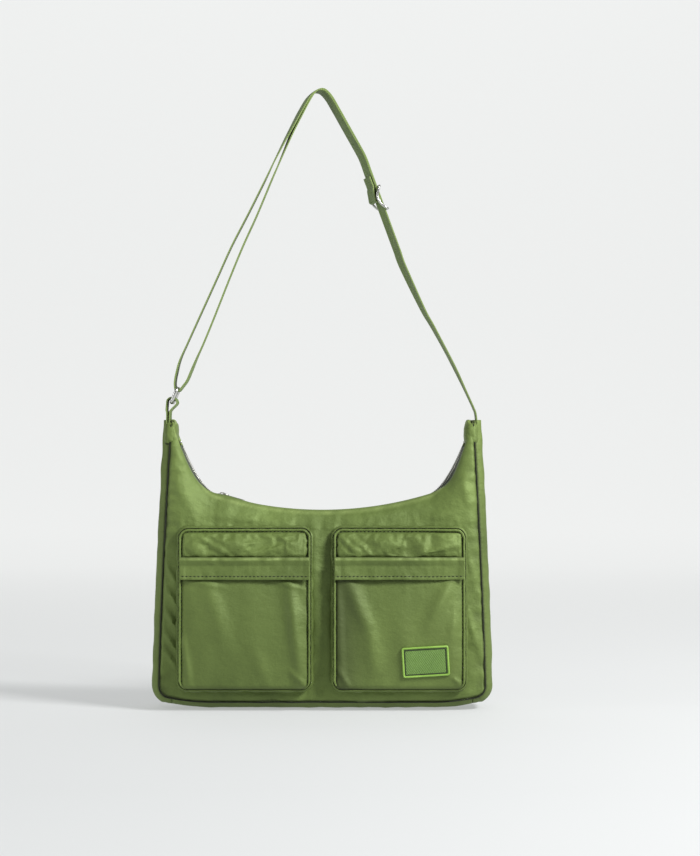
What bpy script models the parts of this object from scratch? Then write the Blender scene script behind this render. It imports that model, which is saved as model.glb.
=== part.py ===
"""A padded crossbody bag: a dipped zip mouth between two horns, two bellows pockets with flap bands, and an
adjustable webbing strap. Metres, +Z up, +X to the right, the front faces -Y. The origin is on the underside of
the base, at its middle."""

import math

import bmesh
import bpy
from mathutils import Matrix, Vector

# --- Bag body ---
MOUTH_Z = 0.196            # height of the zip at the middle of the mouth
HORN_Z = 0.287             # height of a horn's top
BASE_HALF_WIDTH = 0.1615   # front seam, at the base
HORN_HALF_WIDTH = 0.150    # front seam, at a horn's top
BASE_HALF_DEPTH = 0.032    # seam, at the base
HORN_HALF_DEPTH = 0.0155   # seam, at a horn's top
BELLY = 0.004              # how far the panels swell past their seams
MOUTH_HALF_DEPTH = 0.0105  # from the zip's middle to a panel's edge
PANEL_THICK = 0.0035
GUSSET_BULGE = 0.0085      # how far the gussets stand out of the seams
CORNER_R = 0.012
FLAT_HALF_WIDTH = 0.110    # the base is flat this far out, and then rises
TOE_RISE = 0.004
FLAT_SHARE = 0.85          # share of a gusset's depth that is flat
GAP = 0.0003
SEAM_GAP = 0.0006
LINING_INSET = 0.007
LINING_THICK = 0.0006
LINING_LEVELS = (0.06, 0.15, 0.31, 0.51, 0.71, 0.84, 0.92)   # shares of the mouth's height
LINING_FOOT = 0.93         # the lining's lowest ring is this much narrower
LINING_SIDES = 28

# --- Zip ---
ZIP_ARC_R = 0.364          # the middle of the zip is a true arc, so that the slider can run on it
ZIP_ARC_HALF = 0.106
SLIDER_REST_X = 0.100      # the closed slider is this far to the left
ZIP_END_X = 0.141
TEETH_INNER = 0.0006       # half the slot that the slider's post runs in
TEETH_OUTER = 0.0030
TEETH_HALF_H = 0.0012
TAPE_HALF_H = 0.0004
TAPE_EDGE_GAP = 0.0012
SLIDER_LENGTH = 0.010
SLIDER_HALF_WIDTH = 0.0045
SLIDER_PLATE = 0.0012
PULL_LENGTH = 0.022
PULL_HALF_WIDTH = 0.0028
STOP_LENGTH_X = 0.0010
STOP_HALF_H = 0.0015
ARCH_HALF_LENGTH = 0.0036  # the slider's bridge for its pull
ARCH_HALF_WIDTH = 0.0007
ARCH_LEG = 0.0012
ARCH_CLEAR = 0.0032
ARCH_TOP = 0.0010
POST_SHARE = 0.7           # share of the slider's length that its post takes
SINK = 0.0002              # how far joined parts run into each other
PULL_THICK = 0.0012
PULL_BAR = 0.0006          # half the bar that turns in the arch
PULL_EYE_END = 0.0052
PULL_EYE_HALF_WIDTH = 0.0015
END_TAB_START = 0.0036     # past the zip's end
END_TAB_CLEAR = 0.0012
END_TAB_SHARE = 0.62       # share of the horn's inner depth
END_TAB_LOW = 0.026        # below the horn's top
END_TAB_HIGH = 0.004
END_TAB_ROUND = 0.003

# --- Pockets ---
POCKET_OFFSET = 0.076      # from the bag's middle to a pocket's middle
POCKET_HALF_WIDTH = 0.065
POCKET_BOTTOM_Z = 0.022
POCKET_TOP_Z = 0.180
POCKET_CORNER_R = 0.009
POCKET_LIFT_BOTTOM = 0.012
POCKET_LIFT_TOP = 0.006
POCKET_CROWN = 0.003
POCKET_CLOTH = 0.001
WALL_CLOTH = 0.0012
RIDGE_WIDTH = 0.003
RIDGE_HEIGHT = 0.0025
COVER_BOTTOM_Z = 0.1525
COVER_THICK = 0.004
BAND_HEIGHT = 0.022
BAND_THICK = 0.0015
BAND_SIDE_GAP = 0.006      # from a pocket's side to the end of its band
RIDGE_GAP = 0.0009         # the ridge clears the swell of the face
FACE_TOP_Z = 0.144
TAPE_HEIGHT = 0.010
TAPE_HALF_LENGTH = 0.050
FASTENER_THICK = 0.001
FASTENER_RAISE = 0.003     # from the band's free edge to the tape behind it
PANEL_GAP = 0.0004         # from the front panel's skin to a pocket's side cloth

# --- Patch on the right pocket ---
PATCH_CENTRE = (0.1015, 0.0505)
PATCH_SIZE = (0.046, 0.030)
PATCH_TILT = math.radians(3.4)
PATCH_THICK = 0.0014
RIM_WIDTH = 0.0025
RIM_HEIGHT = 0.0008

# --- Strap and its hardware ---
WEBBING_WIDTH = 0.025
WEBBING_THICK = 0.0012
ROOT_HALF_WIDTH = 0.0015
SWING_Z = HORN_Z + 0.0066      # the webbing flexes here, just above the horns
DOUBLED_GAP = 0.0005
RING_WIRE_R = 0.00175
RING_LOW = (-0.150, HORN_Z + 0.0175)    # middles of the ring's two long bars
RING_HIGH = (-0.1442, HORN_Z + 0.0315)
RING_HALF_LENGTH = 0.0148
RING_CORNER_R = 0.004
STRAP_WRAP_R = 0.0031
TAB_WRAP_R = 0.0046
ADJUSTER_CENTRE = (0.056, HORN_Z + 0.221)
ADJUSTER_SLOPE = 0.367         # sideways run for each metre down, along the strap's straight stretch
ADJUSTER_WIRE_R = 0.0012
ADJUSTER_HALF_LENGTH = 0.012
ADJUSTER_HALF_WIDTH = 0.0144
STRAIGHT_TOP_Z = HORN_Z + 0.247
STRAIGHT_BOTTOM_Z = HORN_Z + 0.138
LOOP_TAIL = 0.024
WIRE_CLEAR = 0.0004            # from webbing to the adjuster's wire
ADJUSTER_BEND = 0.0017

FRONT = -1
BACK = 1


# --- Shape of the bag ---

def power_between(low, high, share, power):
    return low + (high - low) * share ** power


def seam_half_width(z):
    return power_between(BASE_HALF_WIDTH, HORN_HALF_WIDTH, max(z, 0.0) / HORN_Z, 1.3)


def seam_half_depth(z):
    return power_between(BASE_HALF_DEPTH, HORN_HALF_DEPTH, max(z, 0.0) / HORN_Z, 2.2)


def arc_rise(x):
    return ZIP_ARC_R - math.sqrt(ZIP_ARC_R ** 2 - x * x)


def mouth_line(x):
    """Height of the zip at x: an arc in the middle that sweeps up into the horns."""
    end_rise = HORN_Z - MOUTH_Z - arc_rise(HORN_HALF_WIDTH)
    past = max(0.0, (abs(x) - ZIP_ARC_HALF) / (HORN_HALF_WIDTH - ZIP_ARC_HALF))
    return MOUTH_Z + arc_rise(x) + end_rise * past ** 1.9


def corner_x():
    return seam_half_width(GUSSET_BULGE + TOE_RISE + CORNER_R) - CORNER_R


def bottom_line(x):
    """Height of the bottom seam at x, with its rounded corners."""
    x = abs(x)
    past = max(0.0, min(x, corner_x()) - FLAT_HALF_WIDTH) / (corner_x() - FLAT_HALF_WIDTH)
    around = min(max(0.0, x - corner_x()), CORNER_R)
    return GUSSET_BULGE + TOE_RISE * past ** 2 + CORNER_R - math.sqrt(CORNER_R ** 2 - around ** 2)


def half_depth(x, z):
    """Half the bag's depth at a point of the front panel."""
    up = (z - bottom_line(x)) / (mouth_line(x) - bottom_line(x))
    up = min(max(up, 0.0), 1.0)
    beside = min(1.0, abs(x) / seam_half_width(z)) ** 8
    belly = BASE_HALF_DEPTH + BELLY * math.sin(math.pi * up)
    body = MOUTH_HALF_DEPTH + (belly - MOUTH_HALF_DEPTH) * math.sqrt(1.0 - up ** 5)
    return beside * seam_half_depth(z) + (1.0 - beside) * body


def on_column(across, line):
    """The x at which a column that keeps its share of the width meets a line."""
    x = across * HORN_HALF_WIDTH
    for _ in range(12):
        x = across * seam_half_width(line(x))
    return x


# --- Blender helpers ---

def clear_scene():
    for obj in list(bpy.data.objects):
        bpy.data.objects.remove(obj, do_unlink=True)


def make_material(name, colour, roughness, metallic=0.0):
    material = bpy.data.materials.new(name)
    material.use_nodes = True
    shader = material.node_tree.nodes["Principled BSDF"]
    shader.inputs["Base Color"].default_value = (*colour, 1.0)
    shader.inputs["Roughness"].default_value = roughness
    shader.inputs["Metallic"].default_value = metallic
    return material


def add_object(name, data, material):
    obj = bpy.data.objects.new(name, data)
    obj.data.materials.append(material)
    bpy.context.collection.objects.link(obj)
    return obj


def add_mesh(name, bm, material, recalculate=True):
    if recalculate:
        bmesh.ops.recalc_face_normals(bm, faces=bm.faces)
    mesh = bpy.data.meshes.new(name)
    bm.to_mesh(mesh)
    bm.free()
    mesh.shade_smooth()
    mesh.set_sharp_from_angle(angle=math.radians(40))
    return add_object(name, mesh, material)


def solidify(obj, thickness, offset=-1.0):
    modifier = obj.modifiers.new("thickness", "SOLIDIFY")
    modifier.thickness = thickness
    modifier.offset = offset


def surface(name, columns, rows, point, material, thickness, flip=False):
    """A thickened sheet of columns by rows cells. point(across, up) places it, each from -1 to 1."""
    bm = bmesh.new()
    bmesh.ops.create_grid(bm, x_segments=columns, y_segments=rows, size=1.0)
    for vertex in bm.verts:
        vertex.co = Vector(point(vertex.co.x, vertex.co.y))
    if flip:
        bmesh.ops.reverse_faces(bm, faces=bm.faces)
    obj = add_mesh(name, bm, material, recalculate=False)
    solidify(obj, thickness)


def loft(name, rings, material):
    """A closed solid through rings of points, with a face on the first and the last."""
    bm = bmesh.new()
    loops = [[bm.verts.new(point) for point in ring] for ring in rings]
    for low, high in zip(loops, loops[1:]):
        for i in range(len(low)):
            j = (i + 1) % len(low)
            bm.faces.new((low[i], low[j], high[j], high[i]))
    bm.faces.new(loops[0][::-1])
    bm.faces.new(loops[-1])
    return add_mesh(name, bm, material)


def box_between(bm, low, high):
    size = [b - a for a, b in zip(low, high)]
    middle = [(a + b) / 2 for a, b in zip(low, high)]
    place = Matrix.Translation(middle) @ Matrix.Diagonal((*size, 1.0))
    return bmesh.ops.create_cube(bm, size=1.0, matrix=place)["verts"]


def join(obj, *others):
    for other in others:
        modifier = obj.modifiers.new("join", "BOOLEAN")
        modifier.operation = "UNION"
        modifier.solver = "EXACT"
        modifier.object = other


def wire(name, points, radius, material, origin=(0.0, 0.0, 0.0)):
    """A closed loop of round wire through points, which are given from origin."""
    curve = bpy.data.curves.new(name, "CURVE")
    curve.dimensions = "3D"
    curve.bevel_depth = radius
    curve.bevel_resolution = 2
    spline = curve.splines.new("POLY")
    spline.points.add(len(points) - 1)
    for spot, point in zip(spline.points, points):
        spot.co = (*point, 1.0)
    spline.use_cyclic_u = True
    obj = add_object(name, curve, material)
    obj.location = origin
    return obj


def smooth_path(points, steps):
    """A smooth line through the points of a plane, with a number of steps between each two."""
    ends = [2 * points[0] - points[1], *points, 2 * points[-1] - points[-2]]
    path = []
    for a, b, c, d in zip(ends, ends[1:], ends[2:], ends[3:]):
        for step in range(steps):
            t = step / steps
            path.append(
                b + t * (c - a) / 2
                + t * t * (a - 2.5 * b + 2 * c - d / 2)
                + t ** 3 * (1.5 * (b - c) + (d - a) / 2)
            )
    path.append(points[-1])
    return path


def webbing_half_width(z):
    """Half the webbing's width. Its ends are rounded, so that it can swing over the horns."""
    half = WEBBING_WIDTH / 2
    rise = min(max(z - SWING_Z, 0.0), half)
    return max(ROOT_HALF_WIDTH, math.sqrt(rise * (2 * half - rise)))


def ribbon(name, path, material):
    """A stretch of webbing along a path in the XZ plane, with its width along Y."""
    bm = bmesh.new()
    edge = [bm.verts.new((x, -webbing_half_width(z), z)) for x, z in path]
    strip = [bm.edges.new(pair) for pair in zip(edge, edge[1:])]
    made = bmesh.ops.extrude_edge_only(bm, edges=strip)["geom"]
    for vertex in (item for item in made if isinstance(item, bmesh.types.BMVert)):
        vertex.co.y = webbing_half_width(vertex.co.z)
    obj = add_mesh(name, bm, material)
    solidify(obj, WEBBING_THICK, offset=0.0)
    return obj


# --- Bag shell ---

def denser(share):
    """Crowds evenly spaced shares towards -1 and 1."""
    return math.sin(share * math.pi / 2)


def panel_point(across, up, side):
    across = denser(across)
    low = bottom_line(on_column(across, bottom_line))
    high = mouth_line(on_column(across, mouth_line))
    share = 1.0 - ((1.0 - up) / 2) ** 1.6
    z = low + (high - low) * share
    x = across * seam_half_width(z)
    return x, side * half_depth(x, z), z


def build_panel(name, side, material):
    def point(across, up):
        return panel_point(across, up, side)
    surface(name, 28, 9, point, material, PANEL_THICK, flip=side == BACK)


def gusset_profile(share):
    """How far a gusset comes back in towards its seams, from 0 on its flat to 1 at its edges."""
    past = max(0.0, (abs(share) - FLAT_SHARE) / (1.0 - FLAT_SHARE))
    return past ** 2


def build_gusset(name, rail, material, flip=True):
    """A padded strip along a rail of (x, z, outward x, outward z) points."""
    stations = (-1.0, -0.5 - FLAT_SHARE / 2, -FLAT_SHARE, 0.0, FLAT_SHARE, 0.5 + FLAT_SHARE / 2, 1.0)

    def point(along, across):
        x, z, out_x, out_z = rail[round((along + 1) / 2 * (len(rail) - 1))]
        share = stations[round((across + 1) / 2 * (len(stations) - 1))]
        bulge = GUSSET_BULGE * (1.0 - gusset_profile(share))
        y = share * (seam_half_depth(z) - PANEL_THICK - GAP)
        return x + out_x * bulge, y, z + out_z * bulge

    surface(name, len(rail) - 1, len(stations) - 1, point, material, PANEL_THICK, flip)


def side_rail(side):
    middle_z = GUSSET_BULGE + TOE_RISE + CORNER_R
    rail = []
    for step in range(6):
        angle = math.radians(-90 + 18 * step)
        x = corner_x() + CORNER_R * math.cos(angle)
        z = middle_z + CORNER_R * math.sin(angle)
        rail.append((side * x, z, side * math.cos(angle), math.sin(angle)))
    for step in range(1, 11):
        z = middle_z + (HORN_Z - middle_z) * step / 10
        rail.append((side * seam_half_width(z), z, side, 0.0))
    return rail


def base_rail():
    end = corner_x() - SEAM_GAP
    past = (FLAT_HALF_WIDTH + end) / 2
    return [
        (x, bottom_line(x), 0.0, -1.0)
        for x in (-end, -past, -FLAT_HALF_WIDTH, 0.0, FLAT_HALF_WIDTH, past, end)
    ]


def build_lining(material):
    """An open pouch inside the panels."""
    bm = bmesh.new()
    loops = []
    for level in LINING_LEVELS:
        z = level * MOUTH_Z
        foot = 1.0 if loops else LINING_FOOT
        loop = []
        for i in range(LINING_SIDES):
            angle = 2 * math.pi * i / LINING_SIDES
            cosine, sine = math.cos(angle), math.sin(angle)
            x = (seam_half_width(z) - LINING_INSET) * math.copysign(abs(cosine) ** 0.5, cosine)
            y = (half_depth(x, z) - LINING_INSET) * math.copysign(abs(sine) ** 0.5, sine)
            loop.append(bm.verts.new((x * foot, y, z)))
        loops.append(loop)
    for low, high in zip(loops, loops[1:]):
        for i in range(LINING_SIDES):
            j = (i + 1) % LINING_SIDES
            bm.faces.new((low[i], low[j], high[j], high[i]))
    bm.faces.new(loops[0][::-1])
    obj = add_mesh("lining", bm, material)
    solidify(obj, LINING_THICK)


def build_shell(cloth, lining_cloth):
    build_panel("front_panel", FRONT, cloth)
    build_panel("back_panel", BACK, cloth)
    build_gusset("left_gusset", side_rail(-1), cloth, flip=False)
    build_gusset("right_gusset", side_rail(1), cloth)
    build_gusset("base_gusset", base_rail(), cloth)
    build_lining(lining_cloth)


# --- Zip ---

def zip_point(x, y, height):
    """A point beside the zip's line at x, at a height square to it."""
    step = 1e-5
    slope = (mouth_line(x + step) - mouth_line(x - step)) / (2 * step)
    length = math.hypot(1.0, slope)
    return x - height * slope / length, y, mouth_line(x) + height / length


def zip_strip(name, xs, section, material):
    """A strip along the zip's line. section(x) gives its inner and outer y and its half height."""
    rings = []
    for x in xs:
        inner, outer, half = section(x)
        corners = ((inner, -half), (outer, -half), (outer, half), (inner, half))
        rings.append([zip_point(x, y, height) for y, height in corners])
    return loft(name, rings, material)


def build_zip(tape_cloth, metal, cloth):
    xs = [ZIP_END_X * denser(i / 18) for i in range(-18, 19)]
    for side, word in ((FRONT, "front"), (BACK, "back")):

        def teeth(x):
            return side * TEETH_INNER, side * TEETH_OUTER, TEETH_HALF_H

        def tape(x):
            edge = half_depth(x, mouth_line(x)) - TAPE_EDGE_GAP
            return side * (TEETH_OUTER + GAP), side * edge, TAPE_HALF_H

        zip_strip(f"zip_teeth_{word}", xs, teeth, metal)
        zip_strip(f"zip_tape_{word}", xs, tape, tape_cloth)
    for side, word in ((-1, "left"), (1, "right")):
        start = side * (ZIP_END_X + GAP)
        stop_xs = (start, start + side * STOP_LENGTH_X)

        def stop(x):
            return -TEETH_OUTER, TEETH_OUTER, STOP_HALF_H

        zip_strip(f"zip_stop_{word}", stop_xs, stop, metal)
        build_end_tab(f"zip_end_tab_{word}", side, cloth)


def build_end_tab(name, side, material):
    """Folded cloth that closes a horn at the zip's end."""
    bm = bmesh.new()
    inner = side * (ZIP_END_X + END_TAB_START)
    outer = side * (HORN_HALF_WIDTH + GUSSET_BULGE - PANEL_THICK - END_TAB_CLEAR)
    half = (HORN_HALF_DEPTH - PANEL_THICK) * END_TAB_SHARE
    low = (min(inner, outer), -half, HORN_Z - END_TAB_LOW)
    high = (max(inner, outer), half, HORN_Z - END_TAB_HIGH)
    box_between(bm, low, high)
    bmesh.ops.bevel(bm, geom=bm.edges[:], offset=END_TAB_ROUND, segments=2, affect="EDGES", profile=0.5)
    add_mesh(name, bm, material)


def zip_frame():
    """The zip arc's middle, and the turn that puts the slider at its left end."""
    turn = math.asin(SLIDER_REST_X / ZIP_ARC_R)
    return Vector((0.0, 0.0, MOUTH_Z + ZIP_ARC_R)), turn


def build_slider(metal):
    """The slider's own frame has its origin at the middle of the zip's arc, with the zip below it."""
    middle, turn = zip_frame()
    half = SLIDER_LENGTH / 2
    width = SLIDER_HALF_WIDTH
    arch = ARCH_HALF_LENGTH
    post_x, post_y = half * POST_SHARE, TEETH_INNER / 2
    plate_low = TEETH_HALF_H + GAP
    plate_high = plate_low + SLIDER_PLATE
    arch_low, arch_high = plate_high - SINK, plate_high + ARCH_CLEAR
    post_high = plate_low + SINK

    def part(name, low, high):
        bm = bmesh.new()
        box_between(bm, low, high)
        bmesh.ops.translate(bm, verts=bm.verts, vec=(0.0, 0.0, -ZIP_ARC_R))
        obj = add_mesh(name, bm, metal)
        obj.location = middle
        obj.rotation_euler = (0.0, turn, 0.0)
        return obj

    slider = part("zip_slider", (-half, -width, plate_low), (half, width, plate_high))
    guides = [
        part("slider_bottom_guide", (-half, -width, -plate_high), (half, width, -plate_low)),
        part("slider_post_guide", (-post_x, -post_y, -post_high), (post_x, post_y, post_high)),
        part(
            "slider_arch_left_guide",
            (-arch, -ARCH_HALF_WIDTH, arch_low), (ARCH_LEG - arch, ARCH_HALF_WIDTH, arch_high),
        ),
        part(
            "slider_arch_right_guide",
            (arch - ARCH_LEG, -ARCH_HALF_WIDTH, arch_low), (arch, ARCH_HALF_WIDTH, arch_high),
        ),
        part(
            "slider_arch_top_guide",
            (-arch, -ARCH_HALF_WIDTH, arch_high - SINK), (arch, ARCH_HALF_WIDTH, arch_high + ARCH_TOP),
        ),
    ]
    for guide in guides:
        guide.hide_render = True
        guide.display_type = "WIRE"
    join(slider, *guides)
    return plate_high


def build_pull(metal, plate_high):
    """A flat pull whose eye turns in the slider's arch. Its origin is on that axis."""
    middle, turn = zip_frame()
    axis_height = plate_high + PULL_THICK
    xs = (-PULL_BAR, PULL_BAR, PULL_EYE_END, PULL_LENGTH)
    ys = (-PULL_HALF_WIDTH, -PULL_EYE_HALF_WIDTH, PULL_EYE_HALF_WIDTH, PULL_HALF_WIDTH)
    bm = bmesh.new()
    bmesh.ops.create_grid(bm, x_segments=3, y_segments=3, size=1.0)
    for vertex in bm.verts:
        column = round((vertex.co.x + 1) * 1.5)
        row = round((vertex.co.y + 1) * 1.5)
        vertex.co = (xs[column], ys[row], 0.0)
    eye = []
    for face in bm.faces:
        x, y, _ = face.calc_center_median()
        if xs[1] < x < xs[2] and abs(y) < PULL_EYE_HALF_WIDTH:
            eye.append(face)
    bmesh.ops.delete(bm, geom=eye, context="FACES")
    pull = add_mesh("zip_pull", bm, metal, recalculate=False)
    solidify(pull, PULL_THICK, offset=0.0)
    turned = Matrix.Rotation(turn, 3, "Y") @ Vector((0.0, 0.0, axis_height - ZIP_ARC_R))
    pull.location = middle + turned
    pull.rotation_euler = (0.0, turn, 0.0)


# --- Pockets ---

def pocket_lift(z):
    """How far a pocket's face stands in front of the front panel."""
    up = (z - POCKET_BOTTOM_Z) / (POCKET_TOP_Z - POCKET_BOTTOM_Z)
    return POCKET_LIFT_BOTTOM + (POCKET_LIFT_TOP - POCKET_LIFT_BOTTOM) * min(max(up, 0.0), 1.0)


def pocket_crown(x, z, centre):
    """The belly of a pocket's face, which ends below its band."""
    band_bottom = COVER_BOTTOM_Z - BAND_HEIGHT
    up = min(max((z - POCKET_BOTTOM_Z) / (band_bottom - POCKET_BOTTOM_Z), 0.0), 1.0)
    across = min(1.0, abs(x - centre) / POCKET_HALF_WIDTH)
    return POCKET_CROWN * math.sin(math.pi * up) * (1.0 - across ** 4)


def in_front(x, z, off):
    """A point at a distance in front of the front panel."""
    return x, -half_depth(x, z) - off, z


def pocket_outline(centre):
    """Points round a pocket, from the middle of its bottom, with round corners."""
    half = POCKET_HALF_WIDTH
    low, high = POCKET_BOTTOM_Z, POCKET_TOP_Z
    radius = POCKET_CORNER_R
    points = [(centre + half * share, low) for share in (0.0, 0.4)]
    corners = ((1, low, -90), (1, high, 0), (-1, high, 90), (-1, low, 180))
    for number, (side, z, start) in enumerate(corners):
        turn_x = centre + side * (half - radius)
        turn_z = z + radius if z == low else z - radius
        for step in range(4):
            angle = math.radians(start + 30 * step)
            points.append((turn_x + radius * math.cos(angle), turn_z + radius * math.sin(angle)))
        if number in (0, 2):
            rising = 1 if number == 0 else -1
            points += [
                (centre + side * half, (low + high) / 2 + rising * share * (high - low))
                for share in (-0.3, -0.15, 0.0, 0.15, 0.3)
            ]
        if number == 1:
            points += [(centre + share * half, high) for share in (0.5, 0.0, -0.5)]
    points.append((centre - half * 0.4, low))
    return points


def build_wall(name, centre, material):
    """The pocket's side cloth, a closed frame between the front panel and the pocket's face."""
    bm = bmesh.new()
    outline = pocket_outline(centre)
    back = [bm.verts.new(in_front(x, z, PANEL_GAP)) for x, z in outline]
    edges = [bm.edges.new((back[i], back[i - 1])) for i in range(len(back))]
    made = bmesh.ops.extrude_edge_only(bm, edges=edges)["geom"]
    for vertex in (item for item in made if isinstance(item, bmesh.types.BMVert)):
        x, z = vertex.co.x, vertex.co.z
        vertex.co = in_front(x, z, pocket_lift(z) - GAP)
    obj = add_mesh(name, bm, material)
    solidify(obj, WALL_CLOTH)
    return obj


def build_ridge(name, centre, material):
    """The pinched edge that stands up along the pocket's sides and top."""
    outline = pocket_outline(centre)
    foot = POCKET_BOTTOM_Z + POCKET_CORNER_R * 0.4
    raised = [i for i, (_, z) in enumerate(outline) if z > foot]
    middle_z = (POCKET_BOTTOM_Z + POCKET_TOP_Z) / 2
    rings = []
    for x, z in outline[raised[0]:raised[-1] + 1]:
        share_x = RIDGE_WIDTH / POCKET_HALF_WIDTH
        share_z = RIDGE_WIDTH * 2 / (POCKET_TOP_Z - POCKET_BOTTOM_Z)
        inner_x = x + (centre - x) * share_x
        inner_z = z + (middle_z - z) * share_z
        low = pocket_lift(z) + POCKET_CLOTH + RIDGE_GAP
        high = low + RIDGE_HEIGHT
        rings.append([
            in_front(x, z, low), in_front(inner_x, inner_z, low),
            in_front(inner_x, inner_z, high), in_front(x, z, high),
        ])
    return loft(name, rings, material)


def pocket_sheet(name, centre, half, low, high, off, thick, rows, material):
    """A sheet in front of the panel. off(x, z) gives its inner side's distance from the panel."""
    def point(across, up):
        x = centre + across * half
        z = low + (high - low) * (up + 1) / 2
        return in_front(x, z, off(x, z) + thick)
    surface(name, 8, rows, point, material, thick)


def build_pocket(word, centre, cloth, fastener):
    band_bottom = COVER_BOTTOM_Z - BAND_HEIGHT
    band_half = POCKET_HALF_WIDTH - BAND_SIDE_GAP

    def face_off(x, z):
        return pocket_lift(z) + pocket_crown(x, z, centre)

    def stacked(height):
        return lambda x, z: pocket_lift(z) + POCKET_CLOTH + height

    build_wall(f"{word}_pocket_wall", centre, cloth)
    pocket_sheet(
        f"{word}_pocket_face", centre, POCKET_HALF_WIDTH - GAP, POCKET_BOTTOM_Z + GAP, FACE_TOP_Z,
        face_off, POCKET_CLOTH, 9, cloth,
    )
    build_ridge(f"{word}_pocket_ridge", centre, cloth)
    pocket_sheet(
        f"{word}_pocket_cover", centre, band_half, COVER_BOTTOM_Z + SEAM_GAP, POCKET_TOP_Z - BAND_SIDE_GAP,
        stacked(0.0), COVER_THICK, 3, cloth,
    )
    middle = band_bottom + FASTENER_RAISE
    pocket_sheet(
        f"{word}_loop_tape", centre, TAPE_HALF_LENGTH, middle, middle + TAPE_HEIGHT,
        stacked(GAP), FASTENER_THICK, 1, fastener,
    )
    pocket_sheet(
        f"{word}_hook_tape", centre, TAPE_HALF_LENGTH, middle, middle + TAPE_HEIGHT,
        stacked(2 * GAP + FASTENER_THICK), FASTENER_THICK, 1, fastener,
    )
    band_off = 3 * GAP + 2 * FASTENER_THICK
    pocket_sheet(
        f"{word}_flap_band", centre, band_half, band_bottom, COVER_BOTTOM_Z,
        stacked(band_off), BAND_THICK, 3, cloth,
    )


def build_patch(rubber, rim_rubber, centre):
    """A flat moulded patch with a raised rim, which follows the pocket's belly."""
    cosine, sine = math.cos(PATCH_TILT), math.sin(PATCH_TILT)

    def place(u, v, off):
        x = PATCH_CENTRE[0] + u * cosine - v * sine
        z = PATCH_CENTRE[1] + u * sine + v * cosine
        crown = pocket_crown(x, z, centre)
        return in_front(x, z, pocket_lift(z) + crown + POCKET_CLOTH + GAP + off)

    half_w, half_h = PATCH_SIZE[0] / 2, PATCH_SIZE[1] / 2

    def patch_point(across, up):
        return place(across * half_w, up * half_h, PATCH_THICK)

    surface("label_patch", 4, 2, patch_point, rubber, PATCH_THICK)
    rings = []
    us = (-1.0, -0.5, 0.0, 0.5, 1.0)
    for u, v in [(u, -1) for u in us] + [(1, 0)] + [(u, 1) for u in us[::-1]] + [(-1, 0)]:
        outer = (u * half_w, v * half_h)
        inner = (u * (half_w - RIM_WIDTH), v * (half_h - RIM_WIDTH))
        low, high = PATCH_THICK + GAP, PATCH_THICK + GAP + RIM_HEIGHT
        rings.append([place(*outer, low), place(*inner, low), place(*inner, high), place(*outer, high)])
    bm = bmesh.new()
    loops = [[bm.verts.new(point) for point in ring] for ring in rings]
    for first, second in zip(loops, loops[1:] + loops[:1]):
        for i in range(4):
            j = (i + 1) % 4
            bm.faces.new((first[i], first[j], second[j], second[i]))
    add_mesh("label_rim", bm, rim_rubber)


# --- Strap ---

def plane(*points):
    return [Vector(point) for point in points]


def above_horns(*points):
    """Points whose heights are given from the horns' tops."""
    return [Vector((x, HORN_Z + rise)) for x, rise in points]


def strap_frame():
    """Unit vectors down the strap's straight stretch and square to it, away from the doubled side."""
    down = Vector((ADJUSTER_SLOPE, -1.0)).normalized()
    return down, Vector((-down.y, down.x))


def straight_point(z):
    return Vector((ADJUSTER_CENTRE[0] + ADJUSTER_SLOPE * (ADJUSTER_CENTRE[1] - z), z))


def along(path, first, last, count):
    return [path(first + (last - first) * i / (count - 1)) for i in range(count)]


def offset_path(points, distance):
    """Points moved to the left of the way they run."""
    moved = []
    for i, point in enumerate(points):
        before, after = points[max(i - 1, 0)], points[min(i + 1, len(points) - 1)]
        way = (after - before).normalized()
        moved.append(point + distance * Vector((-way.y, way.x)))
    return moved


def around_point(centre, radius, start, end, count):
    return [
        Vector(centre) + radius * Vector((math.cos(angle), math.sin(angle)))
        for angle in (math.radians(start + (end - start) * i / (count - 1)) for i in range(count))
    ]


def build_strap(webbing):
    rising = above_horns(
        (0.1532, 0.0066), (0.1514, 0.0116), (0.1490, 0.0170), (0.1430, 0.0300), (0.1355, 0.0460),
        (0.1275, 0.0620), (0.1190, 0.0780), (0.1097, 0.0950), (0.1006, 0.1110),
    )
    straight = along(straight_point, STRAIGHT_BOTTOM_Z, STRAIGHT_TOP_Z, 8)
    over = above_horns(
        (0.0410, 0.2620), (0.0330, 0.2770), (0.0240, 0.2930), (0.0145, 0.3100), (0.0060, 0.3240),
        (-0.0025, 0.3302), (-0.0125, 0.3250), (-0.0215, 0.3110),
    )
    falling = above_horns(
        (-0.0300, 0.2950), (-0.0420, 0.2720), (-0.0585, 0.2380), (-0.0750, 0.2050), (-0.0910, 0.1740),
        (-0.1055, 0.1420), (-0.1200, 0.1100), (-0.1345, 0.0780), (-0.1425, 0.0600), (-0.1462, 0.0460),
        (-0.1476, 0.0375),
    )
    wrap = around_point(RING_HIGH, STRAP_WRAP_R, 185, 320, 6)
    back_up = above_horns(
        (-0.1382, 0.0342), (-0.1345, 0.0395), (-0.1300, 0.0500), (-0.1250, 0.0620), (-0.1175, 0.0790),
        (-0.1065, 0.1060), (-0.0935, 0.1390), (-0.0795, 0.1730), (-0.0650, 0.2050), (-0.0500, 0.2410),
        (-0.0375, 0.2700), (-0.0275, 0.2930),
    )
    doubled = offset_path(straight[-3:] + over, WEBBING_THICK + DOUBLED_GAP)[1:-1]
    top_end = doubled[::-1]
    down, _ = strap_frame()
    clear = ADJUSTER_HALF_LENGTH + 0.0014
    last = Vector(ADJUSTER_CENTRE) - down * clear
    ending = offset_path([last, last - down], WEBBING_THICK + DOUBLED_GAP)[:1]
    top_end = [point for point in top_end if point.y > ending[0].y + 0.004]
    outline = rising + straight + over + falling + wrap + back_up + top_end + ending
    ribbon("shoulder_strap", smooth_path(outline, 3), webbing)


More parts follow.
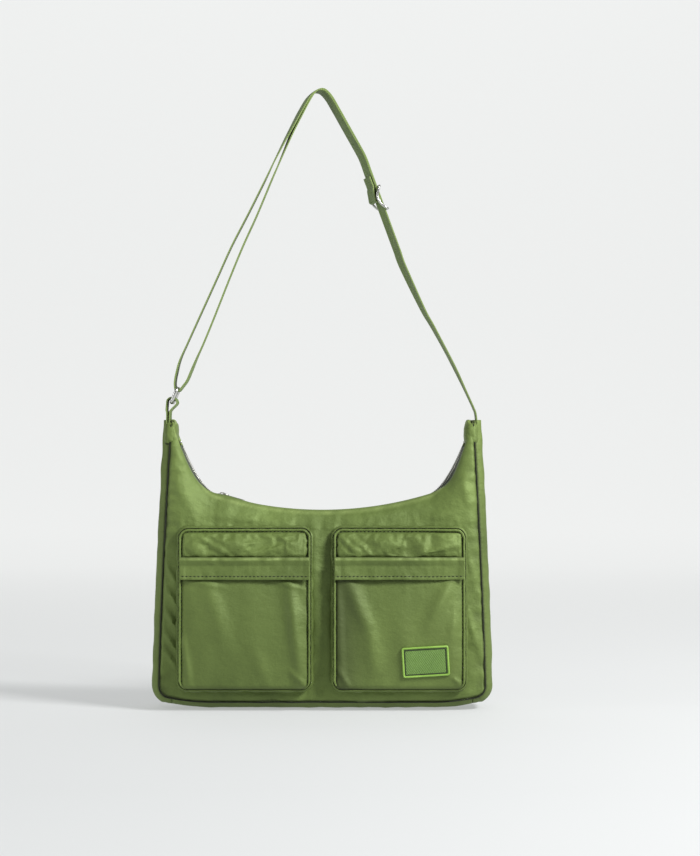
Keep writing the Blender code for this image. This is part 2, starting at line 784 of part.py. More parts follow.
def build_tab_loop(webbing):
    """Webbing folded round the ring's lower bar and sewn into the left horn."""
    foot = -HORN_HALF_WIDTH - 0.0035
    sides = 0.0010
    outline = (
        plane((foot - sides, SWING_Z), (foot - sides - 0.0006, SWING_Z + 0.0035))
        + around_point(RING_LOW, TAB_WRAP_R, 190, -20, 8)
        + plane((foot + sides + 0.0012, SWING_Z + 0.0035), (foot + sides, SWING_Z))
    )
    ribbon("tab_loop", smooth_path(outline, 3), webbing)


def build_ring(steel):
    """A rectangular wire ring. Its origin is the middle of its upper bar."""
    high = Vector((RING_HIGH[0], 0.0, RING_HIGH[1]))
    low = Vector((RING_LOW[0], 0.0, RING_LOW[1]))
    drop = low - high
    way = drop.normalized()
    points = []
    corners = ((1, 0.0, 90), (1, drop.length, 0), (-1, drop.length, -90), (-1, 0.0, -180))
    for side, level, start in corners:
        turn_y = side * (RING_HALF_LENGTH - RING_CORNER_R)
        turn_level = RING_CORNER_R if level == 0.0 else drop.length - RING_CORNER_R
        for step in range(4):
            angle = math.radians(start - 30 * step)
            y = turn_y + RING_CORNER_R * math.cos(angle)
            down = turn_level - RING_CORNER_R * math.sin(angle)
            points.append(Vector((0.0, y, 0.0)) + way * down)
    wire("strap_ring", points, RING_WIRE_R, steel, origin=high)


def build_adjuster(steel, webbing):
    """A three-bar slide. Its outer bars lie on one side of the strap and its middle bar on the other."""
    down, away = strap_frame()
    centre = Vector(ADJUSTER_CENTRE)
    doubled_side = WEBBING_THICK + DOUBLED_GAP
    outer_level = WEBBING_THICK / 2 + WIRE_CLEAR + ADJUSTER_WIRE_R
    middle_level = -(doubled_side + WEBBING_THICK / 2 + WIRE_CLEAR + ADJUSTER_WIRE_R)

    def place(t, y, n):
        flat = down * t + away * n
        return Vector((flat.x, y, flat.y))

    def level(t):
        return middle_level + (outer_level - middle_level) * (t / ADJUSTER_HALF_LENGTH) ** 2

    side_ts = (-0.0105, -0.007, -0.0035, 0.0, 0.0035, 0.007, 0.0105)
    inner_y = ADJUSTER_HALF_WIDTH - ADJUSTER_BEND
    near_t = ADJUSTER_HALF_LENGTH
    points = [place(-near_t, -inner_y, outer_level), place(-near_t, inner_y, outer_level)]
    points += [place(t, ADJUSTER_HALF_WIDTH, level(t)) for t in side_ts]
    points += [place(near_t, inner_y, outer_level), place(near_t, -inner_y, outer_level)]
    points += [place(t, -ADJUSTER_HALF_WIDTH, level(t)) for t in side_ts[::-1]]
    origin = (centre.x, 0.0, centre.y)
    frame = wire("adjuster_frame_guide", points, ADJUSTER_WIRE_R, steel, origin=origin)
    bm = bmesh.new()
    bmesh.ops.create_cone(
        bm, cap_ends=True, segments=12, radius1=ADJUSTER_WIRE_R * 0.96, radius2=ADJUSTER_WIRE_R * 0.96,
        depth=2 * ADJUSTER_HALF_WIDTH, matrix=Matrix.Rotation(math.pi / 2, 4, "X"),
    )
    bmesh.ops.translate(bm, verts=bm.verts, vec=place(0.0, 0.0, middle_level))
    bar = add_mesh("strap_adjuster", bm, steel)
    bar.location = origin
    mesh = bpy.data.meshes.new_from_object(frame)
    bpy.data.objects.remove(frame, do_unlink=True)
    frame = add_object("adjuster_frame_guide", mesh, steel)
    frame.location = origin
    frame.hide_render = True
    frame.display_type = "WIRE"
    join(bar, frame)

    wrap_r = ADJUSTER_WIRE_R + WIRE_CLEAR + WEBBING_THICK / 2
    tail_level = -(doubled_side + WEBBING_THICK + GAP)
    loop = [Vector((-ADJUSTER_HALF_LENGTH - 0.0010, -doubled_side)), Vector((-0.006, -doubled_side))]
    loop += [
        Vector((wrap_r * math.sin(angle), middle_level + wrap_r * math.cos(angle)))
        for angle in (math.radians(30 * i) for i in range(7))
    ]
    loop += [Vector((-0.0060, tail_level - 0.0012)), Vector((-0.0095, tail_level - 0.0001))]
    loop += [Vector((-t, tail_level)) for t in (0.0130, 0.0185, LOOP_TAIL)]
    path = [centre + down * point.x + away * point.y for point in smooth_path(loop, 2)]
    ribbon("strap_end_loop", path, webbing)


# --- The whole bag ---

def main():
    clear_scene()
    cloth = make_material("shell_nylon", (0.195, 0.262, 0.090), 0.45)
    lining_cloth = make_material("lining_nylon", (0.12, 0.17, 0.06), 0.55)
    webbing = make_material("webbing", (0.130, 0.180, 0.065), 0.60)
    tape_cloth = make_material("zip_tape", (0.020, 0.030, 0.018), 0.80)
    metal = make_material("zip_metal", (0.72, 0.72, 0.70), 0.30, 1.0)
    steel = make_material("hardware_steel", (0.75, 0.75, 0.73), 0.22, 1.0)
    fastener = make_material("hook_and_loop", (0.09, 0.13, 0.05), 0.90)
    rubber = make_material("patch_rubber", (0.195, 0.305, 0.088), 0.50)
    rim_rubber = make_material("patch_rim", (0.400, 0.610, 0.130), 0.45)
    build_shell(cloth, lining_cloth)
    build_zip(tape_cloth, metal, cloth)
    plate_high = build_slider(metal)
    build_pull(metal, plate_high)
    for word, side in (("left", -1), ("right", 1)):
        build_pocket(word, side * POCKET_OFFSET, cloth, fastener)
    build_patch(rubber, rim_rubber, POCKET_OFFSET)
    build_strap(webbing)
    build_tab_loop(webbing)
    build_ring(steel)
    build_adjuster(steel, webbing)


main()
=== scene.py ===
"""The looks of a padded crossbody bag: satin nylon over a padded shell, two bellows pockets with flap bands,
a metal zip in a dipped mouth, and a webbing strap with a ring and a three-bar slide."""

import math

import bmesh
import bpy
from mathutils import Matrix, Vector, noise


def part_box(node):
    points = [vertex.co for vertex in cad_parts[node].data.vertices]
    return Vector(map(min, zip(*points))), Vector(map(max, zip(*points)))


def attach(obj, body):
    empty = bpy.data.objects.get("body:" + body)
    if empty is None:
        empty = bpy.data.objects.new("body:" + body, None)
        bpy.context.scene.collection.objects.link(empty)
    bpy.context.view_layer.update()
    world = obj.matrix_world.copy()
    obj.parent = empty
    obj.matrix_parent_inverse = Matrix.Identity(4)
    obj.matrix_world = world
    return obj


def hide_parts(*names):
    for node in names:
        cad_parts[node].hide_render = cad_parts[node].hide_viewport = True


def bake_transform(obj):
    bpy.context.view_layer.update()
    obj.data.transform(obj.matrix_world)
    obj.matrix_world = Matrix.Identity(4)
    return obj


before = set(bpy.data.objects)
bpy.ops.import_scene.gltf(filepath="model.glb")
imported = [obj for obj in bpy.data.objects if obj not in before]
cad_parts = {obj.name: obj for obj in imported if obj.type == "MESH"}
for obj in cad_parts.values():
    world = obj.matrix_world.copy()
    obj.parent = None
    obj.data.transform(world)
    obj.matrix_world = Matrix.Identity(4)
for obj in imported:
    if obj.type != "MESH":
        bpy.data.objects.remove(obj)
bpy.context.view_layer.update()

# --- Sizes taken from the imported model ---

SEAM_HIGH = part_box("front_panel")[1]
POCKET_LOW, POCKET_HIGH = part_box("right_pocket_wall")
BAND_LOW, BAND_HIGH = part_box("right_flap_band")
RING_BOX_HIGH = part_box("strap_ring")[1]
PATCH_LOW, PATCH_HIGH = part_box("label_patch")

# Metres. Those that no box gives repeat the model's own values.
HORN_Z = SEAM_HIGH.z
MOUTH_Z = 0.196
BASE_HALF_WIDTH = 0.1615
HORN_HALF_WIDTH = 0.150
BASE_HALF_DEPTH = 0.032
HORN_HALF_DEPTH = 0.0155
BELLY = 0.004
MOUTH_HALF_DEPTH = 0.0105
CORNER_R = 0.012
FLAT_HALF_WIDTH = 0.110
TOE_RISE = 0.004
SEAM_BULGE = 0.0085

ZIP_ARC_R = 0.364
ZIP_ARC_HALF = 0.106
SLIDER_REST_X = 0.100
ZIP_END_X = 0.141

POCKET_OFFSET = (POCKET_LOW.x + POCKET_HIGH.x) / 2
POCKET_HALF_WIDTH = (POCKET_HIGH.x - POCKET_LOW.x) / 2
POCKET_BOTTOM_Z = POCKET_LOW.z
POCKET_TOP_Z = POCKET_HIGH.z
POCKET_CORNER_R = 0.009
LIFT_BOTTOM = 0.012
LIFT_TOP = 0.006
POCKET_CROWN = 0.003
COVER_BOTTOM_Z = BAND_HIGH.z
BAND_BOTTOM_Z = BAND_LOW.z
RIDGE_R = 0.00135

PATCH_CENTRE = Vector(((PATCH_LOW.x + PATCH_HIGH.x) / 2, (PATCH_LOW.z + PATCH_HIGH.z) / 2))
PATCH_HALF = (0.023, 0.015)
PATCH_TILT = math.radians(3.4)
RIGHT_FACE_SEED = 253.0

WEBBING_HALF = 0.0125
WEBBING_THICK = 0.0012
SWING_Z = HORN_Z + 0.0066
RING_HIGH = (-0.1442, 0.3185)
RING_LOW = (-0.150, 0.3045)
RING_WIRE_R = 0.00175
RING_HALF_LENGTH = RING_BOX_HIGH.y - RING_WIRE_R
ADJUSTER_CENTRE = (0.056, 0.508)
ADJUSTER_SLOPE = 0.367
ADJUSTER_WIRE_R = 0.0012
ADJUSTER_HALF_LENGTH = 0.012
ADJUSTER_HALF_WIDTH = 0.0144
STRAND_GAP = 0.0017
STRAIGHT_TURN = 0.23       # how far the straight stretch is turned, in radians
LOW_TURN = 0.055           # the same, for the two strands at the left

# --- Sizes of the looks alone ---

PADDING_THICK = 0.0030
CLOTH_THICK = 0.0009
LINING_LOW, LINING_HIGH = 0.06, 0.92    # shares of the mouth's height
LINING_INSET = 0.0078
DIP_RIGHT, DIP_LEFT = 0.0064, 0.0026
DIP_X, DIP_REACH = 0.130, 0.011
TEETH_PITCH = 0.0021
FACE_TOP_Z = 0.1440
COVER_INSET = 0.0028
BAND_STITCH_UP = 0.145     # the stitch row's height, as a share of the band's
TOWARDS_FRONT = Vector((0.0, -1.0, 0.0))


# --- Camera and light ---

def build_camera():
    data = bpy.data.cameras.new("camera")
    data.sensor_fit = "HORIZONTAL"
    data.sensor_width = 36.0
    data.lens = 113.1
    data.clip_end = 50.0
    camera = bpy.data.objects.new("camera", data)
    camera.location = (0.0275, -2.2, 0.279)
    camera.rotation_euler = (math.pi / 2, 0.0, 0.0)
    bpy.context.scene.collection.objects.link(camera)
    bpy.context.scene.camera = camera


def soft_light(name, place, target, size, power, colour=(1.0, 1.0, 1.0)):
    data = bpy.data.lights.new(name, "AREA")
    data.shape = "RECTANGLE"
    data.size, data.size_y = size
    data.energy = power
    data.color = colour
    lamp = bpy.data.objects.new(name, data)
    lamp.location = place
    way = Vector(target) - Vector(place)
    lamp.rotation_euler = way.to_track_quat("-Z", "Y").to_euler()
    bpy.context.scene.collection.objects.link(lamp)


def build_studio():
    scene = bpy.context.scene
    scene.view_settings.view_transform = "Standard"
    world = bpy.data.worlds.new("studio")
    world.use_nodes = True
    sky = world.node_tree.nodes["Background"]
    sky.inputs["Color"].default_value = (0.90, 0.92, 0.93, 1.0)
    sky.inputs["Strength"].default_value = 0.24
    scene.world = world
    soft_light("key", (1.50, -1.10, 1.45), (0.0, 0.0, 0.15), (0.60, 0.60), 74.0)
    soft_light("front", (-0.2, -2.6, 1.9), (0.0, 0.0, 0.2), (1.4, 0.8), 9.0)
    soft_light("left", (-1.6, -0.6, 0.5), (0.0, 0.0, 0.15), (0.5, 1.0), 7.0)


# --- Finishes ---

class Value:
    """A number on a shader socket, which Python's operators turn into Math nodes."""

    def __init__(self, finish, socket):
        self.finish = finish
        self.socket = socket

    def maths(self, operation, *others):
        return self.finish.node("ShaderNodeMath", {"operation": operation}, (self, *others))

    def __add__(self, other):
        return self.maths("ADD", other)

    def __mul__(self, other):
        return self.maths("MULTIPLY", other)

    def __sub__(self, other):
        return self.maths("SUBTRACT", other)

    def __rsub__(self, other):
        return self.finish.node("ShaderNodeMath", {"operation": "SUBTRACT"}, (other, self))

    def __truediv__(self, other):
        return self.maths("DIVIDE", other)

    __radd__ = __add__
    __rmul__ = __mul__

    def sine(self):
        return self.maths("SINE")

    def size(self):
        return self.maths("ABSOLUTE")

    def clamped(self, low=0.0, high=1.0):
        return self.maths("MAXIMUM", low).maths("MINIMUM", high)


class Finish:
    """One material, built node by node round its shader."""

    def __init__(self, name, **constants):
        self.material = bpy.data.materials.new(name)
        self.material.use_nodes = True
        self.tree = self.material.node_tree
        self.shader = self.tree.nodes["Principled BSDF"]
        for socket, value in constants.items():
            self.shader.inputs[socket.replace("_", " ")].default_value = value

    def node(self, kind, settings, inputs, output=0):
        made = self.tree.nodes.new(kind)
        for key, value in settings.items():
            setattr(made, key, value)
        pairs = inputs.items() if isinstance(inputs, dict) else enumerate(inputs)
        for key, value in pairs:
            if isinstance(value, Value):
                self.tree.links.new(value.socket, made.inputs[key])
            else:
                made.inputs[key].default_value = value
        return Value(self, made.outputs[output])

    def place(self):
        return self.node("ShaderNodeTexCoord", {}, {}, "Object")

    def parts(self, vector):
        return [self.node("ShaderNodeSeparateXYZ", {}, (vector,), axis) for axis in range(3)]

    def attribute(self, name, output="Fac"):
        return self.node("ShaderNodeAttribute", {"attribute_name": name}, {}, output)

    def stretched(self, vector, scale):
        return self.node("ShaderNodeMapping", {}, {"Vector": vector, "Scale": scale})

    def clouds(self, vector, scale, detail=2.0, roughness=0.5):
        inputs = {"Vector": vector, "Scale": scale, "Detail": detail, "Roughness": roughness}
        return self.node("ShaderNodeTexNoise", {}, inputs, "Fac")

    def mixed(self, share, first, second):
        inputs = {0: share, 6: first, 7: second}
        return self.node("ShaderNodeMix", {"data_type": "RGBA"}, inputs, 2)

    def ramp(self, value, low, high):
        settings = {"clamp": True}
        inputs = {"Value": value, "From Min": low, "From Max": high}
        return self.node("ShaderNodeMapRange", settings, inputs)

    def bump(self, height, distance, strength=1.0, under=None):
        inputs = {"Strength": strength, "Distance": distance, "Height": height}
        if under is not None:
            inputs["Normal"] = under
        return self.node("ShaderNodeBump", {}, inputs)

    def feed(self, **sockets):
        for name, value in sockets.items():
            self.tree.links.new(value.socket, self.shader.inputs[name.replace("_", " ")])
        return self.material


def rgb(red, green, blue):
    """A colour given as it looks on a screen, from 0 to 255."""
    linear = [((c / 255 + 0.055) / 1.055) ** 2.4 if c > 10 else c / 255 / 12.92 for c in (red, green, blue)]
    return (*linear, 1.0)


def nylon(name, low, high, dark, crease=0.0011, roughness=0.60):
    """Satin nylon: a fine plain weave, soft creases, painted shade in the seams, grooves and dents, and
    painted highlights on edges and folds that catch the light.
    """
    finish = Finish(
        name, Sheen_Weight=0.05, Sheen_Roughness=0.30, Sheen_Tint=rgb(200, 222, 150), IOR=1.45, Metallic=0.30
    )
    place = finish.place()
    x, y, z = finish.parts(place)
    broad = finish.clouds(finish.stretched(place, (1.0, 1.0, 0.6)), 14.0, 3.0, 0.55)
    fine = finish.clouds(place, 420.0, 2.0, 0.6)
    seam = finish.attribute("shade")
    highlight_mask = finish.attribute("painted_highlight")
    thread = 2 * math.pi / 0.0008
    weave = (x * thread + y * thread).sine() * (z * thread).sine()
    tone = finish.ramp(broad + fine * 0.25, 0.36, 0.86)
    colour = finish.mixed(tone, low, high)
    # Painted highlight: paler where a piece marks edges and folds that catch the light.
    colour = finish.mixed((highlight_mask * 0.5).clamped(), colour, rgb(164, 182, 112))
    # Painted shade: darker in the seams, grooves and dents that a piece marks.
    colour = finish.mixed((seam * 0.92).clamped(), colour, dark)
    rough = (fine * 0.10 + broad * 0.10 + seam * 0.18 + (roughness - 0.10)).clamped(0.2, 0.95)
    soft = finish.clouds(finish.stretched(place, (1.0, 1.0, 0.45)), 46.0, 2.0, 0.5)
    puckers = finish.clouds(finish.stretched(place, (1.0, 1.0, 1.5)), 95.0, 3.0, 0.6)
    crinkle = finish.clouds(finish.stretched(place, (1.0, 1.0, 0.8)), 260.0, 3.0, 0.6)
    relief = finish.bump(soft, crease * 1.5, 0.8)
    relief = finish.bump(puckers, crease * 1.1, 0.8, relief)
    relief = finish.bump(crinkle, crease * 0.28, 0.8, relief)
    relief = finish.bump(weave, 0.00006, 0.3, relief)
    return finish.feed(Base_Color=colour, Roughness=rough, Normal=relief)


def webbing(name, low, high):
    """Ribbed nylon webbing. Its pattern follows the strap's own length and width."""
    finish = Finish(name, Sheen_Weight=0.10, Sheen_Roughness=0.40, Sheen_Tint=rgb(205, 222, 160), IOR=1.45)
    along, across, _ = finish.parts(finish.attribute("weave", "Vector"))
    rib = (across * (2 * math.pi / 0.0016)).sine()
    twill = (along * (2 * math.pi / 0.0022) + rib * 1.2).sine()
    edge = finish.ramp((across / WEBBING_HALF).size(), 0.82, 1.0)
    broad = finish.clouds(finish.place(), 26.0, 3.0, 0.6)
    tone = (twill * 0.22 + rib * 0.12 + broad * 0.7).clamped()
    colour = finish.mixed(tone, low, high)
    colour = finish.mixed(edge * 0.25, colour, rgb(165, 178, 122))
    relief = finish.bump(twill * 0.5 + rib * 0.6, 0.00022, 0.7)
    rough = (twill * 0.05 + broad * 0.12 + 0.5).clamped()
    return finish.feed(Base_Color=colour, Roughness=rough, Normal=relief)


def zip_tape(name):
    finish = Finish(name, Sheen_Weight=0.15, Sheen_Roughness=0.5)
    place = finish.place()
    x, y, _ = finish.parts(place)
    rib = (y * (2 * math.pi / 0.0011)).sine() * (x * (2 * math.pi / 0.0013)).sine()
    broad = finish.clouds(place, 60.0, 3.0)
    colour = finish.mixed((rib * 0.2 + broad * 0.6).clamped(), rgb(30, 40, 20), rgb(60, 76, 40))
    rough = (broad * 0.2 + 0.65).clamped()
    return finish.feed(Base_Color=colour, Roughness=rough, Normal=finish.bump(rib, 0.00015, 0.6))


def polished(name, tint, roughness, grain):
    """Plated metal with faint scratches and dull spots."""
    finish = Finish(name, Metallic=1.0)
    place = finish.place()
    spots = finish.clouds(place, 900.0, 3.0, 0.6)
    streaks = finish.clouds(finish.stretched(place, (1.0, 0.15, 1.0)), 1600.0, 2.0, 0.5)
    colour = finish.mixed(finish.ramp(spots, 0.45, 0.8) * 0.5, tint, rgb(120, 120, 116))
    rough = (spots * 0.16 + streaks * grain + roughness).clamped(0.05, 0.9)
    return finish.feed(Base_Color=colour, Roughness=rough, Normal=finish.bump(streaks, 0.00004, 0.4))


def fastener(name, low, high, scale):
    """Hook or loop tape: a dense field of little hooks."""
    finish = Finish(name, Sheen_Weight=0.4, Sheen_Roughness=0.6)
    place = finish.place()
    fuzz = finish.clouds(place, scale, 4.0, 0.7)
    colour = finish.mixed(finish.ramp(fuzz, 0.35, 0.65), low, high)
    rough = (fuzz * 0.1 + 0.8).clamped()
    return finish.feed(Base_Color=colour, Roughness=rough, Normal=finish.bump(fuzz, 0.0006, 0.9))


def rubber(name, low, high, line_width):
    """Soft moulded rubber. With a line width it carries fine slanting lines."""
    finish = Finish(name, IOR=1.48)
    place = finish.place()
    x, _, z = finish.parts(place)
    grain = finish.clouds(place, 700.0, 2.0)
    broad = finish.clouds(place, 60.0, 2.0)
    lines = ((x + z * 0.7) * (2 * math.pi / line_width)).sine()
    line = finish.ramp(lines, 0.15, 0.75)
    colour = finish.mixed((broad * 0.6 + line * 0.45).clamped(), low, high)
    relief = finish.bump(line, 0.0004, 0.7, finish.bump(grain, 0.00006, 0.5))
    rough = (grain * 0.2 + 0.38).clamped()
    return finish.feed(Base_Color=colour, Roughness=rough, Normal=relief)


def thread_finish(name, low, high):
    finish = Finish(name, Sheen_Weight=0.04, Sheen_Roughness=0.5, Specular_IOR_Level=0.25)
    place = finish.place()
    x, y, z = finish.parts(place)
    twist = ((x + y + z) * (2 * math.pi / 0.0005)).sine()
    colour = finish.mixed((twist * 0.3 + 0.5).clamped(), low, high)
    rough = (twist * 0.05 + 0.6).clamped()
    return finish.feed(Base_Color=colour, Roughness=rough, Normal=finish.bump(twist, 0.00008, 0.6))


def floor_finish():
    """Pale paper that curves up behind the bag and gives off a little light of its own."""
    finish = Finish("floor_paper", Emission_Strength=1.0, Specular_IOR_Level=0.1)
    place = finish.place()
    _, back, height = finish.parts(place)
    grain = finish.clouds(place, 260.0, 3.0)
    colour = finish.mixed(grain * 0.4, rgb(154, 155, 155), rgb(158, 158, 158))
    glow = finish.mixed(finish.ramp(back, -0.5, 2.6), rgb(156, 158, 158), rgb(211, 212, 211))
    glow = finish.mixed(finish.ramp(height, 0.6, 2.2), glow, rgb(214, 215, 214))
    rough = (grain * 0.1 + 0.8).clamped()
    return finish.feed(Base_Color=colour, Emission_Color=glow, Roughness=rough)


# --- Shape of the bag, as in the model ---

def power_between(low, high, share, power):
    return low + (high - low) * share ** power


def seam_half_width(z):
    return power_between(BASE_HALF_WIDTH, HORN_HALF_WIDTH, max(z, 0.0) / HORN_Z, 1.3)


def seam_half_depth(z):
    return power_between(BASE_HALF_DEPTH, HORN_HALF_DEPTH, max(z, 0.0) / HORN_Z, 2.2)


def arc_rise(x):
    return ZIP_ARC_R - math.sqrt(ZIP_ARC_R ** 2 - x * x)


def mouth_line(x):
    end_rise = HORN_Z - MOUTH_Z - arc_rise(HORN_HALF_WIDTH)
    past = max(0.0, (abs(x) - ZIP_ARC_HALF) / (HORN_HALF_WIDTH - ZIP_ARC_HALF))
    return MOUTH_Z + arc_rise(x) + end_rise * past ** 1.9


def corner_x():
    return seam_half_width(SEAM_BULGE + TOE_RISE + CORNER_R) - CORNER_R


def bottom_line(x):
    x = abs(x)
    past = max(0.0, min(x, corner_x()) - FLAT_HALF_WIDTH) / (corner_x() - FLAT_HALF_WIDTH)
    around = min(max(0.0, x - corner_x()), CORNER_R)
    return SEAM_BULGE + TOE_RISE * past ** 2 + CORNER_R - math.sqrt(CORNER_R ** 2 - around ** 2)


def half_depth(x, z):
    up = (z - bottom_line(x)) / (mouth_line(x) - bottom_line(x))
    up = min(max(up, 0.0), 1.0)
    beside = min(1.0, abs(x) / seam_half_width(z)) ** 8
    belly = BASE_HALF_DEPTH + BELLY * math.sin(math.pi * up)
    body = MOUTH_HALF_DEPTH + (belly - MOUTH_HALF_DEPTH) * math.sqrt(1.0 - up ** 5)
    return beside * seam_half_depth(z) + (1.0 - beside) * body


def on_column(across, line):
    x = across * HORN_HALF_WIDTH
    for _ in range(12):
        x = across * seam_half_width(line(x))
    return x


def denser(share):
    return math.sin(share * math.pi / 2)


def near(distance, reach):
    """1 on a line, falling to 0 at reach."""
    return max(0.0, 1.0 - distance / reach)


def wave(a, b, seed):
    return noise.noise(Vector((a, b, seed)))


# --- Making pieces ---

def finish_mesh(name, bm, material, smooth_angle=60):
    mesh = bpy.data.meshes.new(name)
    bm.to_mesh(mesh)
    bm.free()
    mesh.shade_smooth()
    mesh.set_sharp_from_angle(angle=math.radians(smooth_angle))
    mesh.materials.append(material)
    obj = bpy.data.objects.new(name, mesh)
    bpy.context.scene.collection.objects.link(obj)
    return obj


def spread(name, columns, rows, place, material, flip=False, shade=None, painted_highlight=None, closed=False):
    """A grid of columns by rows cells, moved to place(u, v), with u and v from -1 to 1."""
    bm = bmesh.new()
    bmesh.ops.create_grid(bm, x_segments=columns, y_segments=rows, size=1.0)
    # Two colour masks: shade carries painted shade, the other one painted highlight.
    shades = bm.verts.layers.float.new("shade")
    highlight_layer = bm.verts.layers.float.new("painted_highlight")
    for vertex in bm.verts:
        u, v = vertex.co.x, vertex.co.y
        vertex[shades] = shade(u, v) if shade else 0.0
        vertex[highlight_layer] = painted_highlight(u, v) if painted_highlight else 0.0
        vertex.co = Vector(place(u, v))
    if closed:
        bmesh.ops.remove_doubles(bm, verts=bm.verts, dist=1e-6)
    if flip:
        bmesh.ops.reverse_faces(bm, faces=bm.faces)
    return finish_mesh(name, bm, material)


def thicken(obj, thickness, offset=-1.0):
    modifier = obj.modifiers.new("thickness", "SOLIDIFY")
    modifier.thickness = thickness
    modifier.offset = offset


def rounder(obj):
    modifier = obj.modifiers.new("smooth", "SUBSURF")
    modifier.levels = modifier.render_levels = 1


def soft_edges(obj, width, sharpest=60):
    """Rounds the edges of a thickened piece that turn by more than this many degrees."""
    modifier = obj.modifiers.new("soft_edges", "BEVEL")
    modifier.width = width
    modifier.segments = 2
    modifier.limit_method = "ANGLE"
    modifier.angle_limit = math.radians(sharpest)


def soften(bm, offset, segments):
    """Rounds every edge of a piece that is still being made."""
    bmesh.ops.bevel(
        bm, geom=bm.edges[:], offset=offset, offset_type="OFFSET", segments=segments, profile=0.5,
        affect="EDGES", material=-1,
    )


def round_line(name, points, radius, material, closed=False, sides=3, radii=None):
    """A round line through points, as a mesh."""
    curve = bpy.data.curves.new(name, "CURVE")
    curve.dimensions = "3D"
    curve.bevel_depth = radius
    curve.bevel_resolution = sides
    curve.use_fill_caps = not closed
    spline = curve.splines.new("POLY")
    spline.points.add(len(points) - 1)
    for index, point in enumerate(points):
        spline.points[index].co = (*point, 1.0)
        spline.points[index].radius = radii[index] if radii else 1.0
    spline.use_cyclic_u = closed
    line = bpy.data.objects.new(name, curve)
    bpy.context.scene.collection.objects.link(line)
    mesh = bpy.data.meshes.new_from_object(line)
    bpy.data.objects.remove(line, do_unlink=True)
    bpy.data.curves.remove(curve)
    bm = bmesh.new()
    bm.from_mesh(mesh)
    bpy.data.meshes.remove(mesh)
    bmesh.ops.remove_doubles(bm, verts=bm.verts, dist=1e-7)
    bmesh.ops.recalc_face_normals(bm, faces=bm.faces)
    return finish_mesh(name, bm, material)


def smooth_path(points, steps):
    """A smooth line through points, with a number of steps between each two."""
    points = [Vector(point) for point in points]
    ends = [2 * points[0] - points[1], *points, 2 * points[-1] - points[-2]]
    path = []
    for a, b, c, d in zip(ends, ends[1:], ends[2:], ends[3:]):
        for step in range(steps):
            t = step / steps
            path.append(
                b + t * (c - a) / 2
                + t * t * (a - 2.5 * b + 2 * c - d / 2)
                + t ** 3 * (1.5 * (b - c) + (d - a) / 2)
            )
    path.append(points[-1])
    return path


def evenly(points, pitch):
    """Points along a line at an even pitch, each with the line's direction there."""
    found = []
    due = pitch / 2
    gone = 0.0
    for a, b in zip(points, points[1:]):
        length = (b - a).length
        while length > 0 and due <= gone + length:
            share = (due - gone) / length
            found.append((a.lerp(b, share), (b - a) / length))
            due += pitch
        gone += length
    return found


def stitches(name, lines, material, length=0.0024, pitch=0.0039, radius=0.00050):
    """Short rounded stitches along lines of (points, outward direction)."""
    bm = bmesh.new()
    for points, outward in lines:
        for spot, way in evenly(points, pitch):
            side = way.cross(outward).normalized()
            up = side.cross(way).normalized()
            turn = Matrix((way * (length / 2), side * radius, up * radius * 0.8)).transposed().to_4x4()
            bmesh.ops.create_uvsphere(
                bm, u_segments=6, v_segments=4, radius=1.0, matrix=Matrix.Translation(spot) @ turn
            )
    bmesh.ops.recalc_face_normals(bm, faces=bm.faces)
    return finish_mesh(name, bm, material)


def puffed(obj, held, pressure, slack, cap, frames=18, voxel=0.0024):
    """Blows a padded piece up as cloth. held(point) says where its stitches hold it, slack how much too large
    the cloth is for its frame, and cap how far a point may move."""
    scene = bpy.context.scene
    solid = bpy.data.meshes.new_from_object(obj.evaluated_get(bpy.context.evaluated_depsgraph_get()))
    obj.modifiers.clear()
    obj.data = solid
    remesh = obj.modifiers.new("remesh", "REMESH")
    remesh.mode = "VOXEL"
    remesh.voxel_size = voxel
    fine = bpy.data.meshes.new_from_object(obj.evaluated_get(bpy.context.evaluated_depsgraph_get()))
    obj.modifiers.clear()
    obj.data = fine
    group = obj.vertex_groups.new(name="stitches")
    for vertex in fine.vertices:
        group.add([vertex.index], held(vertex.co), "REPLACE")
    start = [vertex.co.copy() for vertex in fine.vertices]
    cloth = obj.modifiers.new("cloth", "CLOTH")
    cloth.settings.use_pressure = True
    cloth.settings.uniform_pressure_force = pressure
    cloth.settings.vertex_group_mass = "stitches"
    cloth.settings.shrink_min = -slack
    cloth.settings.effector_weights.gravity = 0.0
    cloth.settings.quality = 6
    cloth.settings.bending_stiffness = 0.05
    cloth.point_cache.frame_start = 1
    cloth.point_cache.frame_end = frames
    for number in range(1, frames + 1):
        scene.frame_set(number)
    blown = bpy.data.meshes.new_from_object(obj.evaluated_get(bpy.context.evaluated_depsgraph_get()))
    obj.modifiers.clear()
    obj.vertex_groups.clear()
    scene.frame_set(1)
    for vertex, moved, first in zip(fine.vertices, blown.vertices, start):
        step = moved.co - first
        vertex.co = first + step * min(1.0, cap / max(step.length, 1e-9))
    bpy.data.meshes.remove(blown)
    fine.shade_smooth()
    return obj


def box_piece(bm, low, high, place=Matrix.Identity(4)):
    size = [b - a for a, b in zip(low, high)]
    middle = [(a + b) / 2 for a, b in zip(low, high)]
    matrix = place @ Matrix.Translation(middle) @ Matrix.Diagonal((*size, 1.0))
    return bmesh.ops.create_cube(bm, size=1.0, matrix=matrix)["verts"]


def fold(x, z, run):
    """The height at (x, z) of one soft fold: its two ends, its half width and its height."""
    (ax, az), (bx, bz), width, height = run
    way_x, way_z = bx - ax, bz - az
    length = math.hypot(way_x, way_z)
    along = ((x - ax) * way_x + (z - az) * way_z) / length
    across = ((x - ax) * way_z - (z - az) * way_x) / length
    ends = min(max(along / length, 0.0), 1.0)
    taper = math.sin(math.pi * min(max(0.08 + 0.84 * ends, 0.0), 1.0)) ** 0.6
    past = max(0.0, -along, along - length)
    return height * taper * math.exp(-((across / width) ** 2) - (past / (width * 1.5)) ** 2)


